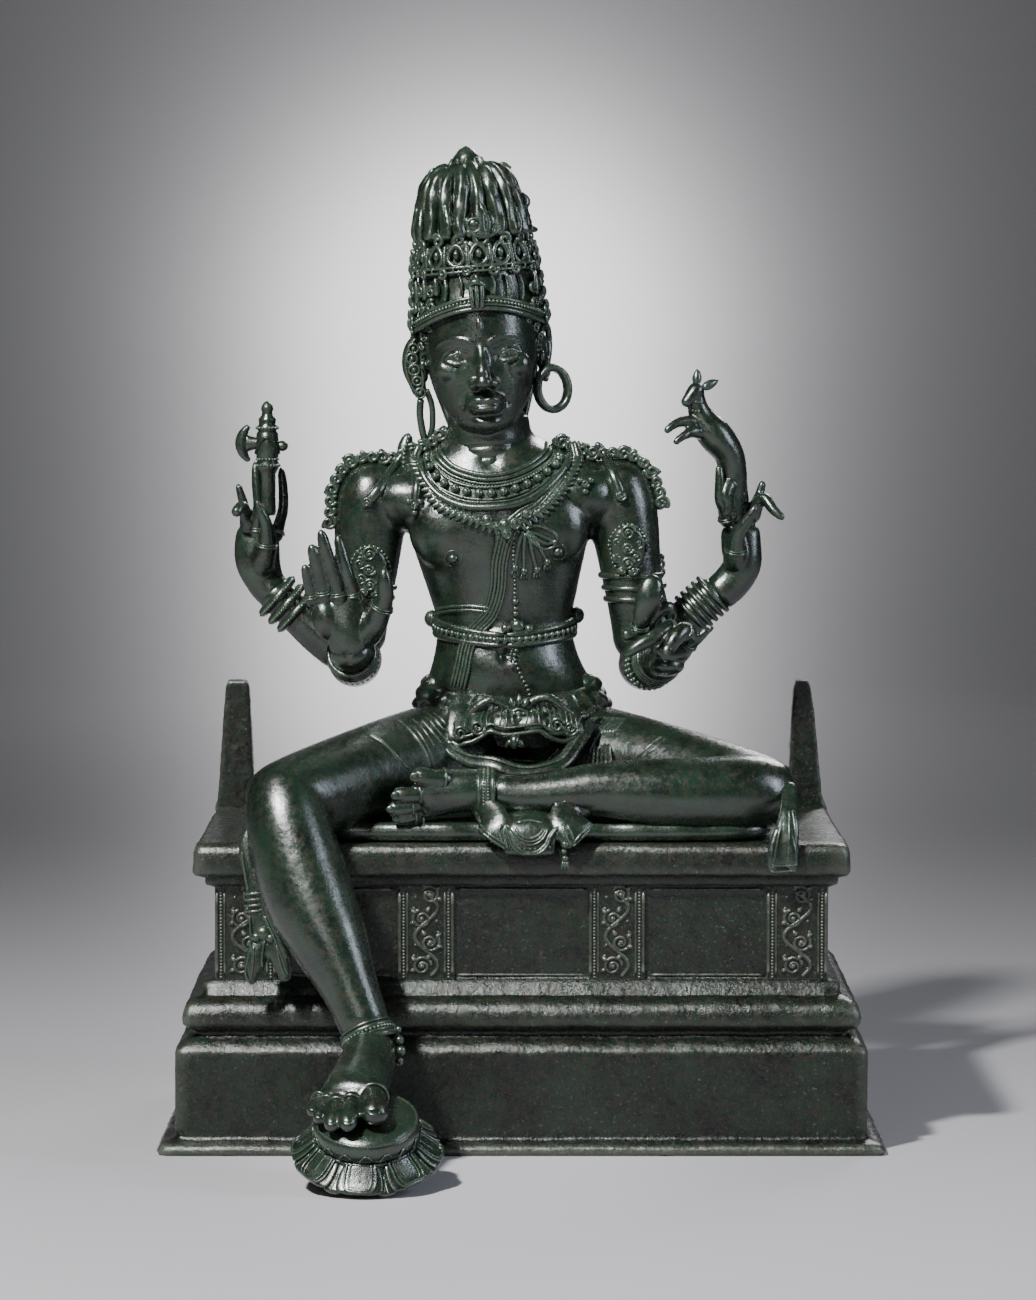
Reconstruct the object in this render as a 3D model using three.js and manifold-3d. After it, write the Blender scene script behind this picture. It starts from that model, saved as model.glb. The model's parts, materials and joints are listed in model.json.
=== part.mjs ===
// A seated, four-armed Shiva in cast bronze on its own moulded plinth, in millimetres.
// +Z is up, the figure faces -Y, and the origin is on the floor under the middle of the plinth.
// The figure is one casting on a thin seat plate of its own, which rests on top of the plinth.
// Right and left are the figure's own, so its right hand is on the -X side.
import * as THREE from 'three';
import { mergeVertices } from 'three/addons/utils/BufferGeometryUtils.js';
import Module from 'manifold-3d';

const wasm = await Module();
wasm.setup();

// Driving dimensions of the plinth. Each course is less deep than it is wide by one fixed amount.
const BLOCK_HALF_WIDTH = 297;
const DEPTH_LESS = 115;
const SLAB_HALF_WIDTH = 282;
const SLAB_TOP = 264;
const POST_HEIGHT = 116;

// Driving dimensions of the figure
const SEAT_GAP = 0.3;
const SEAT_THICK = 17;
const SEAT_LEVEL = SLAB_TOP + SEAT_GAP + SEAT_THICK;
const NECK = [-29, 14, 605];
const HEAD_LEAN = -4.5;
const FACE_HEIGHT = 111;
const CROWN_HEIGHT = 136;
const HAND_LENGTH = 98;
const FOOT_LENGTH = 90;
const LOTUS_RADIUS = 62;
const JOIN_TOLERANCE = 0.8;
const LONGEST_SLIVER = 16;

const vec = (x, y, z) => new THREE.Vector3(x, y, z);
const FRONT = vec(0, -1, 0);
const UP = vec(0, 0, 1);
const degrees = THREE.MathUtils.degToRad;
const count = (n) => [...Array(n).keys()];
const SIDES = [-1, 1];

// A closed solid from a surface, with its doubled corners merged
function solid(geometry, frame) {
  const bare = geometry.index ? geometry.toNonIndexed() : geometry.clone();
  bare.deleteAttribute('normal');
  bare.deleteAttribute('uv');
  if (frame) bare.applyMatrix4(frame);
  const merged = mergeVertices(bare, 1e-3);
  return new wasm.Manifold(new wasm.Mesh({
    numProp: 3,
    vertProperties: new Float32Array(merged.attributes.position.array),
    triVerts: new Uint32Array(merged.index.array),
  }));
}

const join = (solids) => solids.reduce((whole, next) => whole.add(next));

function frameAt(position, turn = [0, 0, 0], scale = [1, 1, 1]) {
  const angles = new THREE.Euler(...turn.map(degrees));
  const rotation = new THREE.Quaternion().setFromEuler(angles);
  return new THREE.Matrix4().compose(vec(...position), rotation, vec(...scale));
}

// A frame whose +Z runs along one direction and whose -Y faces another
function frameAlong(position, along, facing) {
  const z = vec(...along).normalize();
  const y = vec(...facing).negate();
  y.addScaledVector(z, -y.dot(z)).normalize();
  return new THREE.Matrix4().makeBasis(y.clone().cross(z), y, z).setPosition(...position);
}

const smooth = (points) => new THREE.CatmullRomCurve3(points, false, 'catmullrom', 0.5);

// A ball stretched along a smooth path through stations [x, y, z, half width, half thickness].
// Thickness lies along the facing direction and width across it; level sections stay horizontal.
function limb(stations, options = {}) {
  const { sides = 10, rings = 7, facing = FRONT, cap = 0.12, level = false, shape, frame } = options;
  const path = smooth(stations.map((s) => vec(s[0], s[1], s[2])));
  const sizes = smooth(stations.map((s) => vec(s[3], s[4] ?? s[3], 0)));
  const geometry = new THREE.SphereGeometry(1, sides, rings);
  const position = geometry.attributes.position;
  for (let i = 0; i < position.count; i += 1) {
    const along = Math.acos(THREE.MathUtils.clamp(position.getY(i), -1, 1)) / Math.PI;
    const turn = Math.atan2(position.getZ(i), position.getX(i));
    const toEnd = Math.min(along, 1 - along);
    const rounding = toEnd < cap ? Math.sqrt(1 - (1 - toEnd / cap) ** 2) : 1;
    const tangent = level ? UP : path.getTangent(THREE.MathUtils.clamp(along, 0.001, 0.999));
    const thickness = facing.clone().addScaledVector(tangent, -facing.dot(tangent)).normalize();
    const width = thickness.clone().cross(tangent);
    const size = sizes.getPoint(along).multiplyScalar(rounding * (shape ? shape(along, turn) : 1));
    const point = path.getPoint(along)
      .addScaledVector(width, size.x * Math.cos(turn))
      .addScaledVector(thickness, size.y * Math.sin(turn));
    position.setXYZ(i, point.x, point.y, point.z);
  }
  return solid(geometry, frame);
}

function blob(centre, radii, { turn = [0, 0, 0], sides = 10, rings = 6, frame } = {}) {
  const own = frameAt(centre, turn, radii);
  return solid(new THREE.SphereGeometry(1, sides, rings), frame ? frame.clone().multiply(own) : own);
}

// An open cord of even thickness
const cord = (points, radius, options = {}) => limb(
  points.map((p) => [...p, radius]),
  { sides: 5, rings: 2 * points.length, cap: 0.04, ...options },
);

// A closed cord, such as a necklace or a belt
function loop(points, radius, { segments = 14, sides = 4, frame } = {}) {
  const path = new THREE.CatmullRomCurve3(points.map((p) => vec(...p)), true);
  return solid(new THREE.TubeGeometry(path, segments, radius, sides, true), frame);
}

// Raised rings side by side round a limb, turned as one piece
function ribs(from, to, radius, ringCount, { raise = 3, segments = 8 } = {}) {
  const axis = vec(...to).sub(vec(...from));
  const length = axis.length();
  const outline = [new THREE.Vector2(0, 0)];
  count(2 * ringCount + 1).forEach((i) => {
    outline.push(new THREE.Vector2(radius + (i % 2 ? raise : 0), (i / (2 * ringCount)) * length));
  });
  outline.push(new THREE.Vector2(0, length));
  const turn = new THREE.Quaternion().setFromUnitVectors(vec(0, 1, 0), axis.normalize());
  const frame = new THREE.Matrix4().compose(vec(...from), turn, vec(1, 1, 1));
  return solid(new THREE.LatheGeometry(outline, segments), frame);
}

// Torso: stations [centre x, centre y, z, half width, half depth], with level sections
const TORSO = [
  [-4, 26, SEAT_LEVEL - 6, 90, 66],
  [-6, 24, 330, 92, 64],
  [-8, 20, 368, 84, 58],
  [-13, 12, 408, 66, 52],
  [-15, 12, 441, 60, 42],
  [-17, 11, 474, 67, 44],
  [-19, 9, 507, 76, 48],
  [-20, 10, 539, 84, 50],
  [-22, 13, 568, 88, 46],
  [-24, 15, 590, 68, 40],
  [-28, 16, 608, 40, 35],
  [-30, 14, 632, 36, 35],
];

// The torso's centre and half sizes at a height
function torsoAt(z) {
  const i = THREE.MathUtils.clamp(TORSO.findIndex((s) => s[2] > z) - 1, 0, TORSO.length - 2);
  const share = (z - TORSO[i][2]) / (TORSO[i + 1][2] - TORSO[i][2]);
  return TORSO[i].map((value, k) => THREE.MathUtils.lerp(value, TORSO[i + 1][k], share));
}

// A point on the front of the torso, lifted off the skin by a little
function onChest(x, z, lift = 0) {
  const [cx, cy, , halfWidth, halfDepth] = torsoAt(z);
  const share = THREE.MathUtils.clamp((x - cx) / halfWidth, -0.98, 0.98);
  return [x, cy - (halfDepth + lift) * Math.sqrt(1 - share * share), z];
}

// A closed band round the torso that droops at the front
function torsoBelt(z, lift, radius, droop = 0) {
  return loop(count(12).map((i) => {
    const turn = (i / 12) * 2 * Math.PI;
    const height = z - droop * Math.cos(turn);
    const [cx, cy, , halfWidth, halfDepth] = torsoAt(height);
    return [cx + (halfWidth + lift) * Math.sin(turn), cy - (halfDepth + lift) * Math.cos(turn), height];
  }), radius);
}

function torso() {
  const chest = [[-60, 526], [20, 529]].map(([x, z]) => blob([x, -13, z], [40, 24, 38]));
  const small = { sides: 5, rings: 3 };
  const nipples = [[-66, 520], [27, 525]].map(([x, z]) => blob([x, -36, z], [6, 5, 6], small));
  const shoulderMuscles = [[-124, 592], [78, 596]].map(([x, z]) => limb([
    [-28 + Math.sign(x) * 8, 20, 618, 18], [(x - 28) / 2, 20, 600, 18], [x, 18, z - 22, 24],
  ], { sides: 7, rings: 4 }));
  const trunk = limb(TORSO, { sides: 16, rings: 13, cap: 0.02, level: true });
  return [trunk, ...chest, ...nipples, ...shoulderMuscles];
}

// Head: built upright over the neck and then leaned. Its face is plain and evenly divided.
const HEAD_FRAME = frameAt(NECK, [0, HEAD_LEAN, 0]);
const CHIN = 10;
const FACE_THIRD = FACE_HEIGHT / 3;
const MOUTH = CHIN + FACE_THIRD * 0.68;
const NOSE_BASE = CHIN + FACE_THIRD;
const EYES = CHIN + FACE_THIRD * 1.72;
const BROWS = CHIN + FACE_THIRD * 2;
const CROWN_BASE = CHIN + FACE_HEIGHT - 6;
const HEAD = [
  [0, -30, CHIN - 2, 12, 12],
  [0, -24, CHIN + 6, 27, 26],
  [0, -16, CHIN + 20, 38, 38],
  [0, -11, CHIN + 38, 45, 45],
  [0, -8, CHIN + 60, 50, 49],
  [0, -6, CHIN + 84, 52, 51],
  [0, -4, CROWN_BASE, 52, 53],
  [0, -2, CROWN_BASE + 22, 46, 46],
];
const FACE_FRONT = -57;

function face() {
  const part = { frame: HEAD_FRAME, sides: 6, rings: 4 };
  const eyeSpan = 21;
  const nose = limb([
    [0, FACE_FRONT + 4, BROWS, 4, 6], [0, FACE_FRONT - 3, EYES - 8, 5, 7],
    [0, FACE_FRONT - 3, NOSE_BASE + 4, 10, 9],
  ], part);
  const eyes = SIDES.map((side) => blob([side * eyeSpan, FACE_FRONT + 9, EYES], [12, 6, 6], part));
  const brows = SIDES.map((side) => cord([
    [side * 5, FACE_FRONT + 2, BROWS], [side * eyeSpan, FACE_FRONT + 5, BROWS + 7],
    [side * 37, FACE_FRONT + 18, BROWS],
  ], 3, { frame: HEAD_FRAME, sides: 4, rings: 4 }));
  const lips = blob([0, FACE_FRONT + 8, MOUTH], [13, 8, 6], part);
  return [nose, ...eyes, ...brows, lips];
}

// Long ears: ornaments hang from the right one and a wide hoop from the left one
function ears() {
  const shells = SIDES.map((side) => limb([
    [side * 51, 4, EYES + 24, 8, 7], [side * 54, 2, EYES, 9, 7], [side * 55, 0, NOSE_BASE, 6, 6],
  ], { facing: vec(1, 0, 0), sides: 6, rings: 4, frame: HEAD_FRAME }));
  const pendant = limb([
    [-54, 4, 92, 8], [-60, 2, 74, 8], [-58, 2, 52, 7], [-56, 0, 34, 5], [-55, 2, 12, 8], [-52, 8, -6, 9],
  ], { sides: 6, rings: 7, frame: HEAD_FRAME });
  const strap = cord([[-51, 4, 48], [-46, 6, 22], [-51, 8, -2]], 3, {
    frame: HEAD_FRAME, sides: 4, rings: 4,
  });
  const hoop = loop(count(8).map((i) => {
    const turn = (i / 8) * 2 * Math.PI;
    return [59 + 13 * Math.sin(turn), -4 + 5 * Math.sin(turn), 42 + 18 * Math.cos(turn)];
  }), 5.5, { segments: 12, frame: HEAD_FRAME });
  return [...shells, pendant, strap, hoop];
}

// The tall crown of piled, matted locks over a jewelled band: rows of [height share, radius, relief].
// Every second corner stands out by the relief, which makes the leaves, curls and long locks.
const CROWN = [
  [0, 54, 0], [0.01, 59, 0], [0.06, 59, 0], [0.08, 55, 3], [0.17, 55, 4], [0.26, 53, 0],
  [0.3, 52, 3], [0.38, 50, 4], [0.44, 48, 0], [0.47, 45, 4], [0.62, 42, 4], [0.78, 36, 4],
  [0.88, 30, 3], [0.93, 21, 0], [0.95, 13, 0], [1, 12, 0], [1.05, 5, 0],
];
const CROWN_TIP = 1.07;
const CROWN_LOCKS = 10;

// A point on the crown; turn 0 is the front and 90 the figure's left
function onCrown(share, turn, lift = 0) {
  const i = Math.max(CROWN.findIndex(([at]) => at >= share) - 1, 0);
  const step = (share - CROWN[i][0]) / (CROWN[i + 1][0] - CROWN[i][0]);
  const radius = THREE.MathUtils.lerp(CROWN[i][1], CROWN[i + 1][1], step) + lift;
  const height = CROWN_BASE + CROWN_HEIGHT * share;
  return [radius * Math.sin(degrees(turn)), -radius * Math.cos(degrees(turn)), height];
}

function crown() {
  const outline = CROWN.map(([share, radius]) => new THREE.Vector2(radius, CROWN_HEIGHT * share));
  const closed = [new THREE.Vector2(0, 0), ...outline, new THREE.Vector2(0, CROWN_HEIGHT * CROWN_TIP)];
  const geometry = new THREE.LatheGeometry(closed, 2 * CROWN_LOCKS);
  const position = geometry.attributes.position;
  for (let i = 0; i < position.count; i += 1) {
    const row = CROWN[(i % closed.length) - 1];
    const column = Math.floor(i / closed.length);
    const swell = row && row[2] && column % 2 === 0 ? (row[1] + row[2]) / row[1] : 1;
    position.setXYZ(i, position.getX(i) * swell, position.getY(i), position.getZ(i) * swell);
  }
  const body = solid(geometry, HEAD_FRAME.clone().multiply(frameAt([0, 0, CROWN_BASE], [90, 0, 0])));
  const medallion = blob(onCrown(0.56, 0, 2), [13, 7, 13], { frame: HEAD_FRAME, sides: 8, rings: 4 });
  const flowerPlaces = [[0.86, -72], [0.86, 72], [0.62, -80], [0.66, 80], [0.42, 84], [0.24, -84]];
  const flowers = flowerPlaces.map(([share, turn]) => blob(
    onCrown(share, turn, 2),
    [6, 6, 9],
    { frame: HEAD_FRAME, sides: 5, rings: 3 },
  ));
  return [body, medallion, ...flowers];
}

// Braids and locks of hair that lie over the shoulders
const SHOULDER_LOCKS = [
  [[-92, 18, 604], [-128, 16, 593], [-156, 14, 574], [-167, 14, 536]],
  [[-96, 2, 590], [-112, -14, 572], [-126, -22, 552]],
  [[-76, -8, 596], [-78, -26, 576], [-82, -36, 550]],
  [[50, 18, 606], [84, 16, 595], [109, 14, 578], [119, 14, 548]],
  [[62, 0, 596], [78, -16, 578], [88, -22, 554]],
];

function shoulderLocks() {
  return SHOULDER_LOCKS.flatMap((points) => [
    cord(points, 7, { sides: 4, rings: points.length + 2 }),
    blob(points[points.length - 1], [8, 7, 11], { sides: 5, rings: 4 }),
  ]);
}

// Hands lie in a frame of their own: +Z towards the fingertips and -Y out of the palm.
// A finger is [place across the palm, knuckle height, length, half width] in hand lengths.
const FINGERS = [
  [0.165, 0.47, 0.46, 0.062], [0.05, 0.5, 0.52, 0.064], [-0.06, 0.48, 0.44, 0.06],
  [-0.165, 0.44, 0.34, 0.055],
];
const JOINT_SHARES = [0, 0.45, 0.3, 0.25];

function finger([across, knuckle, length, halfWidth], curl, spread) {
  const points = [[HAND_LENGTH * across * 0.9, 0, HAND_LENGTH * (knuckle - 0.12)]];
  let [x, y, z] = [HAND_LENGTH * across, 0, HAND_LENGTH * knuckle];
  JOINT_SHARES.forEach((share, joint) => {
    const bend = degrees(curl * joint);
    const step = HAND_LENGTH * length * share;
    x += step * Math.sin(degrees(spread));
    y -= step * Math.sin(bend);
    z += step * Math.cos(bend) * Math.cos(degrees(spread));
    points.push([x, y, z]);
  });
  return points.map((point, i) => [...point, HAND_LENGTH * halfWidth * (1 - 0.05 * i)]);
}

function hand({ wrist, along, palm, thumbSide, curls, spreads, thumb }) {
  const frame = frameAlong(wrist, along, palm);
  const flip = (stations) => stations.map(([x, ...rest]) => [x * thumbSide, ...rest]);
  const size = HAND_LENGTH;
  const body = limb(flip([
    [3, 0, -0.1 * size, 16, 15], [3, 0, 0.08 * size, 19, 15], [1, 1, 0.3 * size, 23, 13],
    [0, 1, 0.52 * size, 22, 9],
  ]), { sides: 8, rings: 5, frame, cap: 0.1 });
  const [tx, ty, tz] = thumb.map((share) => share * size);
  const ball = limb(flip([
    [8, -4, 0.02 * size, 10], [16, -8, 0.18 * size, 10], [tx * 0.95, ty * 0.9, tz * 0.66, 8],
    [tx, ty, tz, 6],
  ]), { sides: 5, rings: 5, frame });
  const fingers = FINGERS.map((sizes, i) => limb(
    flip(finger(sizes, curls[i], spreads[i])),
    { sides: 4, rings: 5, frame, cap: 0.1 },
  ));
  return [body, ball, ...fingers];
}

const HANDS = {
  // raised palm
  reassuring: {
    wrist: [-152, -90, 430], along: [-0.21, 0, 0.98], palm: [0, -1, 0.05],
    thumbSide: 1, curls: [2, 1, 2, 3], spreads: [-2, 0, 0, -1], thumb: [0.37, -0.1, 0.64],
  },
  // the two hands at the back, with fingertips under an emblem
  axeBearer: {
    wrist: [-230, 50, 466], along: [-0.12, 0, 0.98], palm: [0.2, -1, 0],
    thumbSide: 1, curls: [6, 6, 16, 4], spreads: [0, 0, -8, -4], thumb: [0.12, -0.2, 0.5],
  },
  antelopeBearer: {
    wrist: [177, 50, 468], along: [0.27, 0, 0.96], palm: [-0.2, -1, 0],
    thumbSide: -1, curls: [6, 6, 4, 6], spreads: [0, 0, 2, 46], thumb: [0.1, -0.2, 0.56],
  },
};

// The front left hand beckons: seen end on, with its fingers folded over the palm
const BECKONING = {
  palm: [[122, -62, 420, 18, 16], [128, -84, 425, 26, 19], [130, -104, 432, 24, 16]],
  thumb: [[104, -94, 432, 8, 9], [100, -106, 448, 9, 8], [106, -108, 470, 13, 8], [112, -98, 486, 11, 7]],
  index: [
    [132, -96, 438, 9], [131, -112, 456, 8], [120, -117, 444, 8], [104, -116, 433, 7],
    [88, -112, 423, 5],
  ],
  middle: [[146, -92, 430, 9], [146, -112, 444, 9], [133, -119, 436, 8], [122, -118, 425, 6]],
  little: [[146, -88, 430, 8], [154, -92, 438, 6], [163, -94, 446, 5]],
  tip: [[110, -98, 430, 8], [98, -108, 436, 9], [90, -108, 441, 8]],
};

// Arms: the front pair from the shoulders, and the back pair behind them
const ARMS = {
  rightUpper: [
    [-130, 16, 594, 30], [-134, 15, 552, 37], [-137, 12, 500, 29], [-142, 8, 448, 24],
    [-147, 6, 412, 25],
  ],
  rightForearm: [[-147, 12, 412, 24], [-147, -34, 412, 23], [-148, -70, 420, 19], [-149, -92, 432, 18]],
  leftUpper: [
    [85, 16, 593, 30], [91, 15, 556, 36], [96, 12, 500, 28], [102, 8, 446, 23],
    [107, 6, 408, 24],
  ],
  leftForearm: [[107, 12, 408, 23], [110, -28, 407, 22], [118, -56, 412, 18], [126, -80, 422, 18]],
  rightBackUpper: [[-124, 40, 556, 26], [-136, 48, 500, 25], [-160, 50, 414, 23]],
  rightBackForearm: [[-152, 50, 410, 22], [-180, 51, 430, 20], [-210, 51, 456, 17], [-230, 50, 474, 17]],
  leftBackUpper: [[86, 40, 560, 26], [96, 48, 500, 25], [119, 50, 414, 23]],
  leftBackForearm: [[112, 50, 410, 22], [134, 51, 430, 20], [160, 51, 455, 17], [178, 50, 474, 17]],
};

function arms() {
  const limbs = Object.entries(ARMS).map(([name, stations]) => limb(stations, {
    sides: 9, rings: name.includes('BackUpper') ? 4 : 6, cap: 0.16,
  }));
  const hands = Object.values(HANDS).flatMap(hand);
  const beckoning = Object.entries(BECKONING).map(([name, stations]) => limb(stations, {
    sides: name === 'palm' ? 8 : 5, rings: 5, cap: 0.2, facing: name === 'palm' ? UP : FRONT,
  }));
  const bangles = [
    ribs([-201, 51, 448], [-222, 50, 466], 19, 3),
    ribs([153, 51, 448], [172, 50, 466], 19, 3),
    ribs([-147, -60, 416], [-148, -74, 421], 21, 2),
    ribs([117, -52, 411], [121, -64, 415], 20, 2),
    ribs([-136, 12, 506], [-140, 10, 472], 29, 3),
    ribs([95, 12, 506], [100, 10, 472], 28, 3),
  ];
  const crests = [[-142, -18, 504], [92, -16, 508]].map((centre) => blob(centre, [17, 8, 18], {
    sides: 7, rings: 4,
  }));
  return [...limbs, ...hands, ...beckoning, ...bangles, ...crests];
}

// The axe stands on the fingers of the back right hand
function axe() {
  const [x, y, foot] = [-227, 40, 510];
  const outline = [
    [0, 0], [12, 4], [14, 12], [13, 68], [16, 71], [13, 75], [12, 80], [13, 100], [9, 105],
    [10, 118], [5, 121], [6, 125], [3, 132], [0, 134],
  ].map(([radius, height]) => new THREE.Vector2(radius, height));
  const haft = solid(new THREE.LatheGeometry(outline, 8), frameAt([x, y, foot], [90, 0, 0]));
  const blade = new THREE.Shape();
  blade.moveTo(12, -5);
  blade.quadraticCurveTo(-2, -5, 0, -18);
  blade.quadraticCurveTo(-20, 0, -1, 18);
  blade.quadraticCurveTo(-2, 5, 12, 5);
  const thick = 9;
  const plate = new THREE.ExtrudeGeometry(blade, { depth: thick, bevelEnabled: false, curveSegments: 5 });
  return [haft, solid(plate, frameAt([x - 21, y + thick / 2, foot + 90], [90, 0, 0]))];
}

// The leaping antelope stands on the fingers of the back left hand
function antelope() {
  const body = limb([
    [190, 42, 532, 14], [187, 40, 556, 12], [184, 38, 582, 12], [172, 36, 603, 13], [159, 34, 619, 11],
    [152, 32, 634, 8], [151, 30, 648, 7],
  ], { sides: 7, rings: 8, cap: 0.06 });
  const head = limb([[159, 31, 652, 6], [151, 28, 645, 7], [142, 24, 635, 4]], { sides: 6, rings: 4 });
  const ears = [[[152, 30, 650], [153, 30, 667]], [[156, 32, 650], [174, 34, 658]]].map(([from, to]) => limb(
    [[...from, 4, 3], [...to, 3, 2]],
    { sides: 5, rings: 3 },
  ));
  const legs = [[124, 18, 609], [134, 16, 598]].map(([x, y, z], i) => limb(
    [[162, 34, 614 - 8 * i, 7], [x + 16, y + 6, z + 4, 5], [x, y, z, 4]],
    { sides: 5, rings: 4 },
  ));
  return [body, head, ...ears, ...legs];
}

// Legs: the right one hangs, and the left one lies folded across the seat
const LEGS = {
  rightThigh: [
    [-36, 22, 328, 56, 50], [-86, -36, 325, 48, 46], [-142, -108, 315, 43, 42],
    [-200, -178, 302, 38, 36], [-218, -198, 296, 26, 27],
  ],
  rightShin: [
    [-203, -172, 326, 26], [-200, -192, 292, 35], [-181, -215, 230, 38], [-162, -234, 190, 33],
    [-143, -252, 150, 24], [-126, -268, 110, 21],
  ],
  leftThigh: [
    [26, 22, 328, 54, 50], [82, -16, 323, 46, 44], [144, -62, 315, 38, 38],
    [204, -110, 304, 35, 33], [232, -124, 299, 24, 25],
  ],
  leftShin: [
    [236, -104, 302, 22], [204, -118, 307, 35], [140, -132, 311, 33], [88, -138, 312, 27],
    [28, -142, 312, 22], [-30, -142, 311, 20],
  ],
};

const FEET = [
  { ankle: [-126, -270, 108], along: [-0.17, -0.9, -0.42], instep: [0, -0.42, 0.9], toeSide: -1 },
  { ankle: [-30, -142, 309], along: [-1, 0.03, -0.06], instep: [0, -1, 0], toeSide: 1 },
];

function foot({ ankle, along, instep, toeSide }) {
  const frame = frameAlong(ankle, along, instep);
  const flip = (stations) => stations.map(([x, ...rest]) => [x * toeSide, ...rest]);
  const size = FOOT_LENGTH;
  const sole = limb(flip([
    [0, 4, -0.24 * size, 16, 16], [0, 4, 0, 20, 22], [0, 6, 0.34 * size, 24, 17],
    [-2, 9, 0.7 * size, 28, 11], [-3, 11, 0.84 * size, 27, 9],
  ]), { sides: 8, rings: 5, frame, cap: 0.12 });
  const toes = count(5).map((i) => {
    const x = 19 - 11 * i;
    const thick = i === 0 ? 9 : 6.2 - 0.3 * i;
    const reach = size * (1.04 - 0.04 * i);
    return limb(flip([[x, 9, 0.66 * size, thick], [x, 8, reach - 8, thick], [x, 10, reach, thick]]), {
      sides: 5, rings: 3, frame, cap: 0.3,
    });
  });
  return [sole, ...toes];
}

// The thighs carry the raised folds of a short garment, nearer together towards the hip
function legs() {
  const folds = 3;
  const raised = (along) => 0.05 * Math.abs(Math.sin(folds * Math.PI * 1.9 * along));
  const draped = (along) => 1 + (along > 0.1 && along < 0.62 ? raised(along) : 0);
  const limbs = Object.entries(LEGS).map(([name, stations]) => limb(stations, {
    sides: 11, rings: name.includes('Thigh') ? 14 : 8, shape: name.includes('Thigh') ? draped : undefined,
    facing: UP, cap: 0.08,
  }));
  const anklets = [
    ribs([-22, -142, 311], [-34, -142, 311], 21, 1, { raise: 4 }),
    ribs([-131, -263, 122], [-127, -268, 110], 21, 1, { raise: 4 }),
  ];
  return [...limbs, ...FEET.flatMap(foot), ...anklets];
}

// The lotus under the hanging foot: a cushion over a skirt of drooping petals
function lotus() {
  const petals = 9;
  const inner = 43;
  const outline = [
    [0, -14], [inner - 4, -12], [LOTUS_RADIUS, -18], [LOTUS_RADIUS, -13], [inner + 4, 2],
    [inner, 18], [inner - 8, 25], [0, 27],
  ];
  const geometry = new THREE.LatheGeometry(outline.map(([r, z]) => new THREE.Vector2(r, z)), 2 * petals);
  const position = geometry.attributes.position;
  for (let i = 0; i < position.count; i += 1) {
    const [x, height, z] = [position.getX(i), position.getY(i), position.getZ(i)];
    const wave = Math.hypot(x, z) > LOTUS_RADIUS - 5 ? 0.07 * Math.cos(petals * Math.atan2(z, x)) : 0;
    position.setXYZ(i, x * (1 + wave), height - 40 * wave, z * (1 + wave));
  }
  return [solid(geometry, frameAt([-127, -344, 40], [112, 0, 0]))];
}

// Cloth at the hips: a belt, a low sash with its clasp, an apron over the lap and small side bows
function cloth() {
  const sash = limb([
    [-70, -30, 376, 7], [-44, -56, 362, 9], [-8, -66, 344, 11], [30, -58, 360, 9],
    [56, -34, 376, 7],
  ], { facing: UP, sides: 5, rings: 7 });
  const rope = cord([
    [-52, -52, 366], [-30, -58, 378], [-8, -58, 366], [12, -58, 378], [40, -48, 366],
  ], 6, { rings: 7 });
  const clasp = blob([-6, -64, 354], [16, 9, 15], { sides: 7, rings: 4 });
  const apron = limb([
    [-6, -40, 340, 36, 8], [-4, -84, 322, 46, 9], [-2, -122, 300, 44, 9], [2, -152, 284, 32, 7],
  ], { facing: UP, sides: 7, rings: 5 });
  const bows = SIDES.map((side) => limb([
    [-10 + side * 60, 12, 388, 7], [-10 + side * 76, 8, 388, 9], [-10 + side * 88, 4, 376, 8],
  ], { sides: 5, rings: 4 }));
  return [torsoBelt(384, 2, 7, 5), sash, rope, clasp, apron, ...bows];
}

// Pleated ends of cloth: the fan over the front edge and the tails beside each knee
function tails() {
  const pleats = (along, turn) => 1 + 0.12 * along * Math.cos(5 * turn);
  const fan = limb([
    [12, -140, 276, 22, 9], [10, -160, 284, 25, 8], [9, -177, 270, 27, 6], [9, -180, 252, 22, 6],
  ], { sides: 10, rings: 6, shape: pleats });
  const wings = [[-22, -26], [40, 24]].map(([x, spread]) => limb([
    [x, -144, 274, 14, 8], [x + spread * 0.4, -166, 280, 18, 7], [x + spread * 0.3, -178, 260, 11, 5],
  ], { sides: 6, rings: 5 }));
  const leftTail = limb([
    [216, -108, 300, 12, 9], [226, -146, 288, 12, 6], [226, -174, 272, 13, 5],
    [226, -178, 244, 16, 5],
  ], { sides: 6, rings: 6 });
  const rightTail = limb([
    [-216, -178, 296, 12, 9], [-234, -186, 256, 10, 6], [-232, -192, 214, 13, 6], [-223, -196, 178, 18, 6],
    [-212, -198, 154, 20, 6],
  ], { sides: 6, rings: 7 });
  const rightFold = limb([
    [-230, -190, 204, 10, 8], [-238, -198, 180, 9, 7], [-228, -204, 154, 6, 5],
  ], { sides: 5, rings: 4 });
  return [fan, ...wings, leftTail, rightTail, rightFold];
}

// Necklaces, the sacred cord over the left shoulder and the chest bands
function collar(halfWidth, drop, radius) {
  return loop(count(12).map((i) => {
    const turn = (i / 12) * 2 * Math.PI;
    const front = (1 + Math.cos(turn)) / 2;
    const x = NECK[0] + halfWidth * Math.sin(turn);
    const z = 602 - drop * front;
    return front > 0.45 ? onChest(x, z, 1) : [x, 44 - 40 * front, z + 4];
  }), radius);
}

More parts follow.
